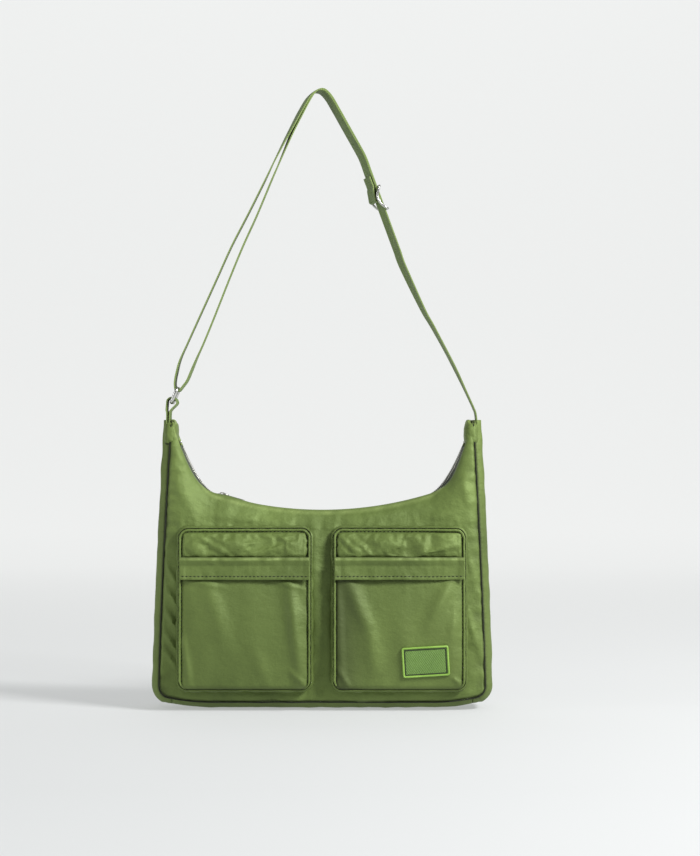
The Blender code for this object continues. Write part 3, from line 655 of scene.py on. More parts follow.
# --- Bag shell ---

def front_dip(x):
    """How far the front panel's edge sags under the zip in each horn."""
    drop = DIP_RIGHT if x > 0.0 else DIP_LEFT
    return drop * math.exp(-((abs(x) - DIP_X) / DIP_REACH) ** 2)


PANEL_FOLDS = (
    ((-0.1590, 0.150), (-0.1420, 0.124), 0.0026, 0.0034), ((-0.1595, 0.128), (-0.1410, 0.102), 0.0024, 0.0040),
    ((-0.1595, 0.106), (-0.1410, 0.078), 0.0026, 0.0044), ((-0.1600, 0.084), (-0.1410, 0.056), 0.0024, 0.0040),
    ((-0.1590, 0.064), (-0.1420, 0.042), 0.0022, 0.0032), ((-0.150, 0.235), (-0.128, 0.196), 0.0080, 0.0020),
    ((-0.110, 0.192), (-0.040, 0.184), 0.0050, 0.0014), ((0.020, 0.190), (0.100, 0.200), 0.0070, 0.0018),
    ((0.100, 0.187), (0.135, 0.200), 0.0040, 0.0016), ((0.138, 0.232), (0.152, 0.190), 0.0060, 0.0020),
    ((0.143, 0.160), (0.156, 0.110), 0.0040, 0.0016), ((0.142, 0.100), (0.156, 0.060), 0.0035, 0.0016),
    ((-0.009, 0.170), (-0.004, 0.060), 0.0050, 0.0016), ((0.003, 0.120), (0.006, 0.040), 0.0035, 0.0014),
    ((-0.120, 0.016), (-0.020, 0.014), 0.0030, 0.0012), ((0.030, 0.015), (0.140, 0.017), 0.0030, 0.0012),
)


def panel_swell(x, z, seed):
    """Soft dents and puckers of the padded panel, out of its plain shape."""
    side = seam_half_width(z) - abs(x)
    foot = z - bottom_line(x)
    edge = mouth_line(x) - z
    calm = min(1.0, side / 0.012) * min(1.0, edge / 0.010)
    swell = 0.0016 * wave(x / 0.050, z / 0.034, seed) * calm
    swell += 0.0008 * wave(x / 0.016, z / 0.012, seed + 4.0) * calm
    swell += 0.0004 * wave(x / 0.007, z / 0.006, seed + 24.0) * calm
    swell += 0.0021 * near(side, 0.018) * wave(z / 0.0075, x / 0.03, seed + 8.0)
    swell += 0.0011 * near(foot, 0.016) * wave(x / 0.0085, z / 0.03, seed + 12.0)
    swell += 0.0010 * near(edge, 0.014) * wave(x / 0.011, z / 0.02, seed + 16.0)
    top_gap = z - POCKET_TOP_Z
    if top_gap > -0.002:
        swell += 0.0013 * near(top_gap, 0.016) * wave(x / 0.006, z / 0.05, seed + 20.0)
    for run in PANEL_FOLDS:
        swell += fold(x, z, run) * calm
    return swell


def build_panel(name, side, material):
    seed = 1.7 if side < 0 else 31.3

    def point(u, v):
        across = denser(u)
        low = bottom_line(on_column(across, bottom_line))
        high = mouth_line(on_column(across, mouth_line))
        share = 1.0 - ((1.0 - v) / 2) ** 1.6
        z = low + (high - low) * share
        x = across * seam_half_width(z)
        depth = half_depth(x, z)
        tuck = 0.0022 * near(seam_half_width(z) - abs(x), 0.0036) ** 2
        tuck += 0.0016 * near(z - bottom_line(x), 0.0036) ** 2
        swell = panel_swell(x, z, seed) if share < 0.999 else 0.0
        if side < 0:
            z -= front_dip(x) * share ** 5
            cuff = 0.0017 * min(1.0, max(0.0, (0.122 - abs(x)) / 0.012))
            z += (cuff + 0.0018 * math.exp(-((x + 0.092) / 0.015) ** 2)) * share ** 6
        return x, side * (depth + swell - tuck), z

    # Painted shade: darker in the sunk seams at the sides and foot, and in the panel's dents near the sides.
    def shade(u, v):
        x, _, z = point(u, v)
        side_gap = seam_half_width(z) - abs(x)
        foot = z - bottom_line(x)
        hollow = min(0.5, max(0.0, -panel_swell(x, z, seed) * 260.0))
        groove = max(near(side_gap, 0.0022), near(foot, 0.0022)) ** 1.2
        return min(1.0, 0.9 * groove + hollow * near(side_gap, 0.03))

    # Painted highlight: a paler band along the mouth's top edge, which faces the light.
    def painted_highlight(u, v):
        x, _, z = point(u, v)
        edge = mouth_line(x) - z
        return near(abs(edge - 0.001), 0.003) * (0.55 + 0.45 * wave(x / 0.01, 3.0, 5.0))

    panel = spread(name, 210, 110, point, material, flip=side > 0, shade=shade, painted_highlight=painted_highlight)
    thicken(panel, PADDING_THICK)
    return panel


def side_rail(side):
    middle_z = SEAM_BULGE + TOE_RISE + CORNER_R
    rail = []
    for step in range(10):
        angle = math.radians(-90 + 10 * step)
        x = corner_x() + CORNER_R * math.cos(angle)
        z = middle_z + CORNER_R * math.sin(angle)
        rail.append((side * x, z, side * math.cos(angle), math.sin(angle)))
    for step in range(1, 81):
        z = middle_z + (HORN_Z - middle_z) * step / 80
        rail.append((side * seam_half_width(z), z, side * 1.0, 0.0))
    return rail


def base_rail():
    end = corner_x() - 0.0006
    return [(x, bottom_line(x), 0.0, -1.0) for x in (end * (step / 45 - 1.0) for step in range(91))]


def build_gusset(name, rail, material, flip, seed):
    def point(u, v):
        x, z, out_x, out_z = rail[round((u + 1) / 2 * (len(rail) - 1))]
        depth = seam_half_depth(z) - PADDING_THICK
        bulge = SEAM_BULGE * (1.0 - abs(v) ** 5)
        run = z if out_x else x
        puckers = 0.0007 * wave(run / 0.014, v * 1.2, seed)
        puckers += 0.0010 * abs(v) ** 3 * wave(run / 0.006, v * 2.0, seed + 5.0)
        bulge += puckers * min(1.0, 6.0 * (1.0 - abs(v))) - (0.0012 if out_z < -0.9 else 0.0)
        bulge = max(bulge, 0.0)
        if out_z < -0.5:
            bulge = min(bulge, SEAM_BULGE + (z - bottom_line(0.0)))
        return x + out_x * bulge, v * depth, z + out_z * bulge

    # Painted shade: darker towards both seams, where the gusset turns into the groove.
    def shade(u, v):
        return 0.9 * near(1.0 - abs(v), 0.08)

    gusset = spread(name, len(rail) - 1, 28, point, material, flip=flip, shade=shade)
    thicken(gusset, PADDING_THICK)
    return gusset


def seam_line(name, side, material):
    """A narrow dark cord sunk in the seam round the panel's sides and foot: a painted shadow of the seam's
    groove.
    """
    points = []
    steps = [HORN_Z * 0.985 * (1.0 - i / 60) for i in range(56)]
    foot_z = SEAM_BULGE + TOE_RISE + CORNER_R
    left = [(-seam_half_width(z), z) for z in steps if z > foot_z]
    corner = []
    for step in range(9):
        angle = math.radians(180 + 11.25 * step)
        corner.append((-corner_x() + CORNER_R * math.cos(angle), foot_z + CORNER_R * math.sin(angle)))
    foot = [(x, bottom_line(x)) for x in (-corner_x() + corner_x() * i / 20 for i in range(1, 20))]
    half = left + corner + foot
    outline = half + [(-x, z) for x, z in half[::-1]]
    for index, (x, z) in enumerate(outline):
        sway = 0.00060 * wave(index / 2.3, 1.0, 40.0 + side)
        depth = half_depth(x, max(z, bottom_line(x)))
        points.append((x * (1.0 + sway), side * (depth - 0.0009), z + sway))
    return round_line(name, points, 0.00062, material, sides=2)


def build_lining(material):
    """An open pouch that hangs inside the panels."""
    def point(u, v):
        level = LINING_LOW + (LINING_HIGH - LINING_LOW) * (v + 1) / 2
        z = level * MOUTH_Z
        angle = math.pi * u
        cosine, sine = math.cos(angle), math.sin(angle)
        foot = 1.0 - 0.07 * near((v + 1) / 2, 0.12)
        x = (seam_half_width(z) - LINING_INSET) * math.copysign(abs(cosine) ** 0.5, cosine)
        y = (half_depth(x, z) - LINING_INSET) * math.copysign(abs(sine) ** 0.5, sine)
        wrinkle = 0.0008 * wave(x / 0.02, z / 0.04, 71.0)
        return x * foot, y - math.copysign(abs(wrinkle), y), z

    lining = spread("bag_lining", 160, 50, point, material, flip=True, closed=True)
    bm = bmesh.new()
    bm.from_mesh(lining.data)
    foot_ring = [edge for edge in bm.edges if edge.is_boundary and edge.verts[0].co.z < MOUTH_Z / 4]
    bmesh.ops.contextual_create(bm, geom=foot_ring)
    bm.to_mesh(lining.data)
    bm.free()
    thicken(lining, 0.0005)
    return lining


# --- Zip ---

def zip_point(x, y, height):
    step = 1e-5
    slope = (mouth_line(x + step) - mouth_line(x - step)) / (2 * step)
    length = math.hypot(1.0, slope)
    return Vector((x - height * slope / length, y, mouth_line(x) + height / length))


def zip_matrix(x, y):
    """A frame on the zip's line: its X runs along the zip and its Z stands out of it."""
    step = 1e-5
    slope = (mouth_line(x + step) - mouth_line(x - step)) / (2 * step)
    return Matrix.Translation((x, y, mouth_line(x))) @ Matrix.Rotation(-math.atan(slope), 4, "Y")


def build_teeth(word, side, material):
    """One row of metal teeth. The two rows sit half a pitch apart, so that they mesh."""
    line = [zip_point(ZIP_END_X * (i / 200), 0.0, 0.0) for i in range(-200, 201)]
    bm = bmesh.new()
    shift = 0.0 if side < 0 else TEETH_PITCH / 2
    for spot, way in evenly(line, TEETH_PITCH):
        x = spot.x + shift * way.x
        if abs(x) > ZIP_END_X - 0.001:
            continue
        place = zip_matrix(x, 0.0)
        near_y, far_y = sorted((side * 0.00005, side * 0.0029))
        box_piece(bm, (-0.00048, near_y, -0.0011), (0.00048, far_y, 0.0011), place)
    soften(bm, 0.00022, 1)
    if side < 0:
        for vertex in bm.verts:
            vertex.co.z -= front_dip(vertex.co.x) * abs(vertex.co.y) / 0.0048
    return finish_mesh(f"teeth_{word}", bm, material, 30)


def build_tape(word, side, material):
    def point(u, v):
        x = ZIP_END_X * denser(u)
        inner = 0.0020
        outer = half_depth(x, mouth_line(x)) - 0.0008
        y = inner + (outer - inner) * (v + 1) / 2
        sag = -0.0006 * (v + 1) / 2 + 0.0003 * wave(x / 0.01, v, 90.0)
        spot = zip_point(x, side * y, sag)
        if side < 0:
            spot.z -= front_dip(x) * min(1.0, 1.6 * (y - inner) / (outer - inner) + 0.45)
        return spot

    tape = spread(f"tape_{word}", 160, 8, point, material, flip=side > 0)
    thicken(tape, 0.0006, 0.0)
    return tape


def slider_frame():
    turn = math.asin(SLIDER_REST_X / ZIP_ARC_R)
    middle = Matrix.Translation((0.0, 0.0, MOUTH_Z + ZIP_ARC_R))
    return middle @ Matrix.Rotation(turn, 4, "Y") @ Matrix.Translation((0.0, 0.0, -ZIP_ARC_R))


def plate(bm, half_x, half_y, low, high, nose, place):
    """A slider plate, narrower at its nose."""
    verts = box_piece(bm, (-half_x, -half_y, low), (half_x, half_y, high), place)
    inverse = place.inverted()
    for vertex in verts:
        local = inverse @ vertex.co
        if local.x < 0:
            local.y *= nose
            vertex.co = place @ local


def build_slider(material):
    place = slider_frame()
    bm = bmesh.new()
    plate(bm, 0.0050, 0.0045, 0.0015, 0.0027, 0.72, place)
    plate(bm, 0.0050, 0.0045, -0.0027, -0.0015, 0.72, place)
    box_piece(bm, (-0.0035, -0.0003, -0.0016), (0.0035, 0.0003, 0.0016), place)
    soften(bm, 0.00045, 3)
    slider = finish_mesh("slider_body", bm, material, 40)
    arch = [(-0.0031, 0.0, 0.0024), (-0.0030, 0.0, 0.0032), (-0.0022, 0.0, 0.0039), (0.0, 0.0, 0.0041),
            (0.0022, 0.0, 0.0039), (0.0030, 0.0, 0.0032), (0.0031, 0.0, 0.0024)]
    points = [place @ point for point in smooth_path(arch, 5)]
    bridge = round_line("slider_bridge", points, 0.00055, material)
    return slider, bridge


def build_pull(material):
    """A flat pull with a narrow neck and a rounded grip, and the wire rim of its eye."""
    place = slider_frame() @ Matrix.Translation((0.0, 0.0, 0.0027))
    outline = (
        (-0.0006, 0.0020, 0.0), (0.0052, 0.0026, 0.0), (0.0090, 0.0022, 0.0), (0.0180, 0.0027, 0.0),
        (0.0215, 0.0018, 0.0), (0.0220, 0.0, 0.0),
    )
    upper = smooth_path(outline, 4)
    loop = upper + [Vector((p.x, -p.y, 0.0)) for p in upper[-2::-1]]
    bm = bmesh.new()
    face = bm.faces.new([bm.verts.new(point) for point in loop])
    bmesh.ops.inset_individual(bm, faces=[face], thickness=0.00035, depth=0.0)
    for vertex in bm.verts:
        vertex.co = place @ (vertex.co + Vector((0.0, 0.0, 0.00055)))
    bmesh.ops.recalc_face_normals(bm, faces=bm.faces)
    pull = finish_mesh("pull_tab", bm, material, 30)
    thicken(pull, 0.0011)
    soft_edges(pull, 0.00025, 30)
    eye = []
    for step in range(24):
        angle = 2 * math.pi * step / 24
        eye.append(place @ Vector((0.0026 + 0.0026 * math.cos(angle), 0.0021 * math.sin(angle), 0.0008)))
    rim = round_line("pull_rim", eye, 0.00055, material, closed=True)
    return pull, rim


def build_stop(word, side, material):
    bm = bmesh.new()
    place = zip_matrix(side * (ZIP_END_X + 0.0010), 0.0)
    box_piece(bm, (-0.0009, -0.0031, -0.0014), (0.0009, 0.0031, 0.0014), place)
    soften(bm, 0.0006, 3)
    return finish_mesh(f"stop_{word}", bm, material, 40)


def build_horn_tab(word, side, material):
    """Folded cloth that caps a horn, drawn in at its foot and crossed by soft creases."""
    inner = 0.1440 if side < 0 else 0.1415
    outer = HORN_HALF_WIDTH + (SEAM_BULGE - 0.0006 if side < 0 else 0.0058)
    low, high = HORN_Z - 0.0265, HORN_Z + 0.0004
    middle = Vector((side * (inner + outer) / 2, 0.0, (low + high) / 2))
    half = Vector(((outer - inner) / 2, seam_half_depth(HORN_Z) + 0.0022, (high - low) / 2))
    bm = bmesh.new()
    box_piece(bm, middle - half, middle + half)
    bmesh.ops.subdivide_edges(bm, edges=bm.edges[:], cuts=13, use_grid_fill=True)
    shades = bm.verts.layers.float.new("shade")
    highlight_layer = bm.verts.layers.float.new("painted_highlight")
    for vertex in bm.verts:
        local = vertex.co - middle
        shares = [local[axis] / half[axis] for axis in range(3)]
        length = (abs(shares[0]) ** 3 + abs(shares[1]) ** 4 + abs(shares[2]) ** 3) ** (1 / 3)
        x, _, z = vertex.co
        crease = 1.0 + 0.08 * wave(z / 0.005 + x / 0.006, x / 0.009, 55.0 + side)
        slim = 1.0 + 0.16 * shares[2]
        # Painted shade at the foot and in a stripe towards the outer side; painted highlight on the top.
        vertex[shades] = 0.8 * near(shares[2] + 1.0, 0.16) + 0.5 * near(abs(shares[0] * side - 0.62), 0.10)
        vertex[highlight_layer] = 0.5 * near(1.0 - shares[2], 0.3)
        moved = local / max(1.0, length) * crease
        moved.y /= slim
        vertex.co = middle + moved
    tab = finish_mesh(f"horn_tab_{word}", bm, material)
    rounder(tab)
    return tab


# --- Pockets ---

def pocket_lift(z):
    up = (z - POCKET_BOTTOM_Z) / (POCKET_TOP_Z - POCKET_BOTTOM_Z)
    return LIFT_BOTTOM + (LIFT_TOP - LIFT_BOTTOM) * min(max(up, 0.0), 1.0)


def pocket_crown(x, z, centre):
    up = min(max((z - POCKET_BOTTOM_Z) / (BAND_BOTTOM_Z - POCKET_BOTTOM_Z), 0.0), 1.0)
    across = min(1.0, abs(x - centre) / POCKET_HALF_WIDTH)
    return POCKET_CROWN * math.sin(math.pi * up) * (1.0 - across ** 4)


def in_front(x, z, off):
    return Vector((x, -half_depth(x, z) - off, z))


def pocket_half(z, radius=POCKET_CORNER_R):
    """Half a pocket's width at a height, with its round corners."""
    below = max(0.0, radius - (z - POCKET_BOTTOM_Z))
    above = max(0.0, radius - (POCKET_TOP_Z - z))
    past = min(max(below, above), radius)
    return POCKET_HALF_WIDTH - radius + math.sqrt(max(radius ** 2 - past ** 2, 0.0))


def pocket_outline(centre, inset=0.0, count=12):
    """Points round a pocket, from the middle of its foot, with each one's outward direction."""
    half = POCKET_HALF_WIDTH - inset
    low, high = POCKET_BOTTOM_Z + inset, POCKET_TOP_Z - inset
    radius = POCKET_CORNER_R - inset * 0.6
    points = []

    def straight(a, b, out, steps):
        for i in range(steps):
            share = i / steps
            points.append((a[0] + (b[0] - a[0]) * share, a[1] + (b[1] - a[1]) * share, *out))

    def corner(x, z, start):
        for i in range(count):
            angle = math.radians(start + 90 * i / count)
            points.append((
                x + radius * math.cos(angle), z + radius * math.sin(angle), math.cos(angle), math.sin(angle)
            ))

    right, left = centre + half, centre - half
    straight((centre, low), (right - radius, low), (0.0, -1.0), 24)
    corner(right - radius, low + radius, -90)
    straight((right, low + radius), (right, high - radius), (1.0, 0.0), 60)
    corner(right - radius, high - radius, 0)
    straight((right - radius, high), (left + radius, high), (0.0, 1.0), 48)
    corner(left + radius, high - radius, 90)
    straight((left, high - radius), (left, low + radius), (-1.0, 0.0), 60)
    corner(left + radius, low + radius, 180)
    straight((left + radius, low), (centre, low), (0.0, -1.0), 24)
    return points


def above_foot(outline, height):
    """The run of an outline's points that lies more than this far above the pocket's foot."""
    return [spot for spot in outline if spot[1] > POCKET_BOTTOM_Z + height]


def build_wall(word, centre, material, seed):
    outline = pocket_outline(centre)
    outline.append(outline[0])

    def point(u, v):
        x, z, out_x, out_z = outline[round((u + 1) / 2 * (len(outline) - 1))]
        share = (v + 1) / 2
        run = x * out_z + z * out_x
        belly = 0.0016 * math.sin(math.pi * share) * (1.0 + 0.8 * wave(run / 0.010, 1.0, seed))
        belly += 0.0006 * wave(run / 0.004, share * 2.0, seed + 3.0) * math.sin(math.pi * share)
        off = 0.0006 + (pocket_lift(z) - 0.0026) * share
        spot = in_front(x, z, off)
        return spot + Vector((out_x * belly, 0.0, out_z * belly))

    # Painted shade: darker where the side cloth meets the panel, under the pocket's edge.
    def shade(u, v):
        return 0.8 * near((v + 1) / 2, 0.3)

    wall = spread(
        f"{word}_side_cloth", len(outline) - 1, 10, point, material, flip=True, shade=shade, closed=True
    )
    thicken(wall, CLOTH_THICK)
    return wall


FACE_FOLDS = {
    "left": (
        ((0.044, 0.126), (0.056, 0.030), 0.0070, 0.0046), ((-0.0600, 0.072), (-0.0535, 0.027), 0.0036, 0.0022),
        ((-0.036, 0.128), (-0.020, 0.070), 0.0090, 0.0028), ((0.010, 0.062), (0.022, 0.026), 0.0070, 0.0016),
        ((-0.058, 0.129), (-0.020, 0.123), 0.0028, 0.0012), ((0.030, 0.129), (0.058, 0.121), 0.0028, 0.0012),
        ((0.045, 0.040), (0.060, 0.027), 0.0030, 0.0016),
    ),
    "right": (
        ((-0.050, 0.128), (-0.030, 0.080), 0.0075, 0.0036), ((-0.030, 0.080), (-0.022, 0.034), 0.0090, 0.0032),
        ((0.050, 0.128), (0.030, 0.090), 0.0065, 0.0034), ((0.056, 0.100), (0.050, 0.070), 0.0050, 0.0016),
        ((-0.060, 0.120), (-0.056, 0.034), 0.0036, 0.0016), ((0.000, 0.100), (0.006, 0.050), 0.0110, 0.0016),
        ((-0.058, 0.040), (-0.050, 0.026), 0.0030, 0.0018), ((0.052, 0.034), (0.060, 0.028), 0.0028, 0.0016),
    ),
}
PAD_FOLDS = {
    "left": (
        ((-0.052, 0.175), (-0.020, 0.158), 0.0028, 0.0020), ((-0.036, 0.172), (-0.004, 0.166), 0.0030, 0.0022),
        ((-0.010, 0.162), (0.024, 0.170), 0.0030, 0.0020), ((0.018, 0.158), (0.050, 0.166), 0.0026, 0.0018),
        ((0.030, 0.174), (0.056, 0.160), 0.0026, 0.0018), ((-0.058, 0.160), (-0.044, 0.172), 0.0022, 0.0016),
    ),
    "right": (
        ((-0.060, 0.173), (-0.040, 0.156), 0.0026, 0.0030), ((-0.054, 0.176), (-0.030, 0.158), 0.0022, 0.0022),
        ((-0.034, 0.170), (0.002, 0.163), 0.0034, 0.0020), ((-0.010, 0.160), (0.030, 0.167), 0.0030, 0.0022),
        ((0.020, 0.157), (0.058, 0.163), 0.0026, 0.0018), ((0.036, 0.174), (0.058, 0.166), 0.0026, 0.0016),
    ),
}


def face_relief(x, z, word, centre, seed):
    """How far a pocket's face stands out of its plain lift."""
    edge_x = pocket_half(z) - abs(x - centre)
    edge_z = z - POCKET_BOTTOM_Z
    edge = min(edge_x, edge_z)
    rise = pocket_crown(x, z, centre)
    rise -= 0.0030 * near(edge, 0.0055) ** 2
    calm = min(1.0, edge / 0.012)
    rise += 0.0011 * wave(x / 0.034, z / 0.085, seed) * calm
    rise += 0.0009 * near(edge_x, 0.022) * wave(z / 0.012, x / 0.05, seed + 3.0) * min(1.0, edge / 0.003)
    rise += 0.0010 * near(edge_z, 0.020) * wave(x / 0.011, z / 0.05, seed + 6.0) * min(1.0, edge / 0.003)
    under_band = near(abs(z - BAND_BOTTOM_Z), 0.014)
    rise += 0.0007 * under_band * wave(x / 0.009, z / 0.03, seed + 9.0) * calm
    for run in FACE_FOLDS[word]:
        rise += fold(x - centre, z, run) * min(1.0, edge / 0.004) * min(1.0, max(0.0, (0.142 - z) / 0.012))
    across = (x - centre) / POCKET_HALF_WIDTH
    rounding = math.sin(math.pi * min(1.0, edge_z / 0.125)) ** 0.6
    lean = 0.0040 * (across - 0.7 * across ** 3) * rounding if word == "right" else -0.0006 * across
    return rise + lean * calm


def build_face(word, centre, material, seed):
    low, high = POCKET_BOTTOM_Z + 0.0004, FACE_TOP_Z

    def point(u, v):
        up = (denser(v) * 0.35 + v * 0.65 + 1) / 2
        z = low + (high - low) * up
        x = centre + (denser(u) * 0.5 + u * 0.5) * (pocket_half(z) - 0.0004)
        return in_front(x, z, pocket_lift(z) + 0.0010 + face_relief(x, z, word, centre, seed))

    # Painted shade: in the groove inside the edge and at the foot, a painted shadow under the band, and the
    # right pocket's left part darkened as if turned from the light.
    def shade(u, v):
        x, _, z = point(u, v)
        edge_x = pocket_half(z) - abs(x - centre)
        edge_z = z - POCKET_BOTTOM_Z
        groove = near(abs(edge_x - 0.0034), 0.0010)
        foot = near(abs(edge_z - 0.0006), 0.0012)
        band_shadow = near(abs(z - BAND_BOTTOM_Z + 0.0005), 0.0022)
        side = -(x - centre) / POCKET_HALF_WIDTH if word == "right" else 0.0
        turned = 0.55 * min(max((side - 0.40) / 0.45, 0.0), 1.0)
        return min(1.0, 0.28 * groove + 0.7 * foot + 0.35 * band_shadow + turned)

    face = spread(f"{word}_face_cloth", 110, 110, point, material, shade=shade)
    thicken(face, CLOTH_THICK)
    return face


def build_ridge(word, centre, material, seed):
    """The pinched edge that stands up along the pocket's sides and top."""
    raised = above_foot(pocket_outline(centre, inset=0.0015), 0.004)
    points, radii = [], []
    for index, (x, z, _, _) in enumerate(raised):
        sway = 0.00035 * wave(index / 3.0, 2.0, seed)
        points.append(in_front(x + sway, z + sway, pocket_lift(z) + 0.0020))
        ends = min(index, len(raised) - 1 - index)
        radii.append((0.92 + 0.16 * wave(index / 2.0, 5.0, seed)) * min(1.0, 0.45 + ends / 8))
    return round_line(f"{word}_edge_ridge", points, RIDGE_R, material, sides=4, radii=radii)


def build_cover(word, centre, material, seed):
    """The padded piece above the band, gathered by its stitches."""
    low, high = COVER_BOTTOM_Z - 0.0022, POCKET_TOP_Z - COVER_INSET

    def point(u, v):
        z = low + (high - low) * (v + 1) / 2
        half = pocket_half(z) - COVER_INSET
        x = centre + u * half
        edge_u, edge_v = 1.0 - abs(u) ** 10, 1.0 - abs(v) ** 3.0
        pad = 0.0044 * (max(edge_u, 0.0) * max(edge_v, 0.0)) ** 0.55
        gather = 0.0009 * near(z - low, 0.008) * wave(x / 0.0045, z / 0.028, seed)
        gather += 0.0009 * near(high - z, 0.008) * wave(x / 0.0055, z / 0.030, seed + 2.0)
        gather += 0.0015 * wave(x / 0.018, z / 0.014, seed + 5.0)
        for run in PAD_FOLDS[word]:
            gather += fold(x - centre, z, run)
        inside = min(1.0, 3.0 * (1.0 - max(abs(u), abs(v))) + 0.15)
        return in_front(x, z, pocket_lift(z) + 0.0012 + pad + gather * inside)

    # Painted shade along the stitched sides, top and foot, where the pad dips into its seams.
    def shade(u, v):
        return 0.45 * max(near(1.0 - abs(u), 0.02), near(1.0 - v, 0.07), 0.8 * near(1.0 + v, 0.12))

    cover = spread(f"{word}_top_pad", 130, 34, point, material, shade=shade)
    thicken(cover, 0.0044)

    def held(spot):
        half = pocket_half(spot.z) - COVER_INSET
        gap = min(half - abs(spot.x - centre), spot.z - low, high - spot.z)
        backing = in_front(spot.x, spot.z, pocket_lift(spot.z) + 0.0006).y
        return 1.0 if gap < 0.0022 or spot.y > backing else 0.0

    puffed(cover, held, 3.0, 0.045, 0.0026)
    cover.data.materials.clear()
    cover.data.materials.append(material)
    # The voxels drop the grid's attributes, so the shade is worked out again for each new point.
    layer = cover.data.attributes.new("shade", "FLOAT", "POINT")
    for index, vertex in enumerate(cover.data.vertices):
        half = pocket_half(vertex.co.z) - COVER_INSET
        u = (vertex.co.x - centre) / half
        v = 2 * (vertex.co.z - low) / (high - low) - 1
        layer.data[index].value = shade(min(max(u, -1.0), 1.0), min(max(v, -1.0), 1.0))
    rounder(cover)
    return cover


def build_band(word, centre, material, seed):
    """The flap band and the path of its stitch row."""
    low, high = BAND_BOTTOM_Z, COVER_BOTTOM_Z
    half = POCKET_HALF_WIDTH - 0.0016

    def point(u, v):
        up = (v + 1) / 2
        x = centre + u * half
        sway = 0.0005 * wave(x / 0.030, 1.0, seed)
        z = low + (high - low) * up + sway * near(up, 0.5)
        tent = 0.0016 * near(POCKET_HALF_WIDTH - 0.0005 - abs(x - centre), 0.007) ** 0.8
        wedge = 0.55 + 0.45 * math.cos((u + 0.25) * 1.7) + 0.5 * wave(x / 0.012, 3.0, seed + 1.0)
        roll = 0.0030 * near(abs(up - 0.86), 0.24) ** 0.9 * max(0.15, wedge)
        hem = 0.0005 * near(abs(up - 0.06), 0.12)
        dents = 0.0008 * wave(x / 0.016, z / 0.02, seed + 4.0)
        dents += 0.0004 * wave(x / 0.006, z / 0.009, seed + 7.0)
        off = pocket_lift(z) + 0.0052 + tent + roll + hem + dents
        return in_front(x, z, off)

    # Painted shade in the stitch row's dent and where the band tucks under the pad.
    def shade(u, v):
        up = (v + 1) / 2
        return 0.5 * near(abs(up - 0.155), 0.03) + 0.6 * near(1.0 - up, 0.05)

    # Painted highlight along the band's rolled top fold.
    def painted_highlight(u, v):
        up = (v + 1) / 2
        x = centre + u * half
        return 0.8 * near(abs(up - 0.92), 0.10) * max(0.0, 0.6 + 0.9 * wave(x / 0.010, 3.0, seed + 1.0))

    band = spread(f"{word}_band_cloth", 130, 30, point, material, shade=shade, painted_highlight=painted_highlight)
    thicken(band, 0.0013)
    soft_edges(band, 0.0005)
    row = [point(u / 60, 2 * BAND_STITCH_UP - 1) + TOWARDS_FRONT * 0.0001 for u in range(-59, 60)]
    return band, [(row, TOWARDS_FRONT)]


def build_tape_strip(name, centre, off, material):
    low, high = BAND_BOTTOM_Z + 0.003, BAND_BOTTOM_Z + 0.013

    def point(u, v):
        z = low + (high - low) * (v + 1) / 2
        x = centre + u * 0.050
        return in_front(x, z, pocket_lift(z) + off + 0.00008 * wave(x / 0.002, z / 0.002, 9.0))

    strip = spread(name, 60, 6, point, material)
    thicken(strip, 0.0008)
    return strip


def ridge_stitches(centre):
    """Two stitch rows, on the inner and outer shoulders of the raised edge."""
    lines = []
    for inset in (0.0031, 0.0001):
        run = above_foot(pocket_outline(centre, inset=inset), 0.008)
        row = [in_front(x, z, pocket_lift(z) + 0.0016) for x, z, _, _ in run]
        lines.append((row, TOWARDS_FRONT))
    return lines


# --- Patch ---

def patch_point(u, v, off):
    cosine, sine = math.cos(PATCH_TILT), math.sin(PATCH_TILT)
    x = PATCH_CENTRE.x + u * cosine - v * sine
    z = PATCH_CENTRE.y + u * sine + v * cosine
    relief = face_relief(x, z, "right", POCKET_OFFSET, RIGHT_FACE_SEED)
    return in_front(x, z, pocket_lift(z) + relief + 0.0012 + off)


def patch_outline(inset, radius):
    points = []
    half_w, half_h = PATCH_HALF[0] - inset, PATCH_HALF[1] - inset
    for side_u, side_v, start in ((1, -1, -90), (1, 1, 0), (-1, 1, 90), (-1, -1, 180)):
        for step in range(8):
            angle = math.radians(start + 90 * step / 7)
            points.append((
                side_u * (half_w - radius) + radius * math.cos(angle),
                side_v * (half_h - radius) + radius * math.sin(angle),
            ))
    dense = []
    for (u, v), (next_u, next_v) in zip(points, points[1:] + points[:1]):
        steps = max(1, round(math.hypot(next_u - u, next_v - v) / 0.002))
        dense += [(u + (next_u - u) * i / steps, v + (next_v - v) * i / steps) for i in range(steps)]
    return dense


def build_patch(field_rubber, rim_rubber, line_rubber):
    def point(u, v):
        half_w, half_h = PATCH_HALF[0] - 0.0004, PATCH_HALF[1] - 0.0004
        return patch_point(u * half_w, v * half_h, 0.0014)

    field = spread("patch_field", 46, 30, point, field_rubber)
    thicken(field, 0.0015)
    rim = round_line(
        "patch_frame", [patch_point(u, v, 0.0013) for u, v in patch_outline(0.0010, 0.0014)], 0.0010,
        rim_rubber, closed=True, sides=4,
    )
    inner = round_line(
        "patch_inner_line", [patch_point(u, v, 0.0014) for u, v in patch_outline(0.0029, 0.0006)], 0.00050,
        line_rubber, closed=True, sides=2,
    )
    return field, rim, inner


# --- Strap ---

def flat(*points):
    return [Vector(point) for point in points]


def strap_frame():
    down = Vector((ADJUSTER_SLOPE, -1.0)).normalized()
    return down, Vector((-down.y, down.x))


def straight_point(z):
    return Vector((ADJUSTER_CENTRE[0] + ADJUSTER_SLOPE * (ADJUSTER_CENTRE[1] - z), z))


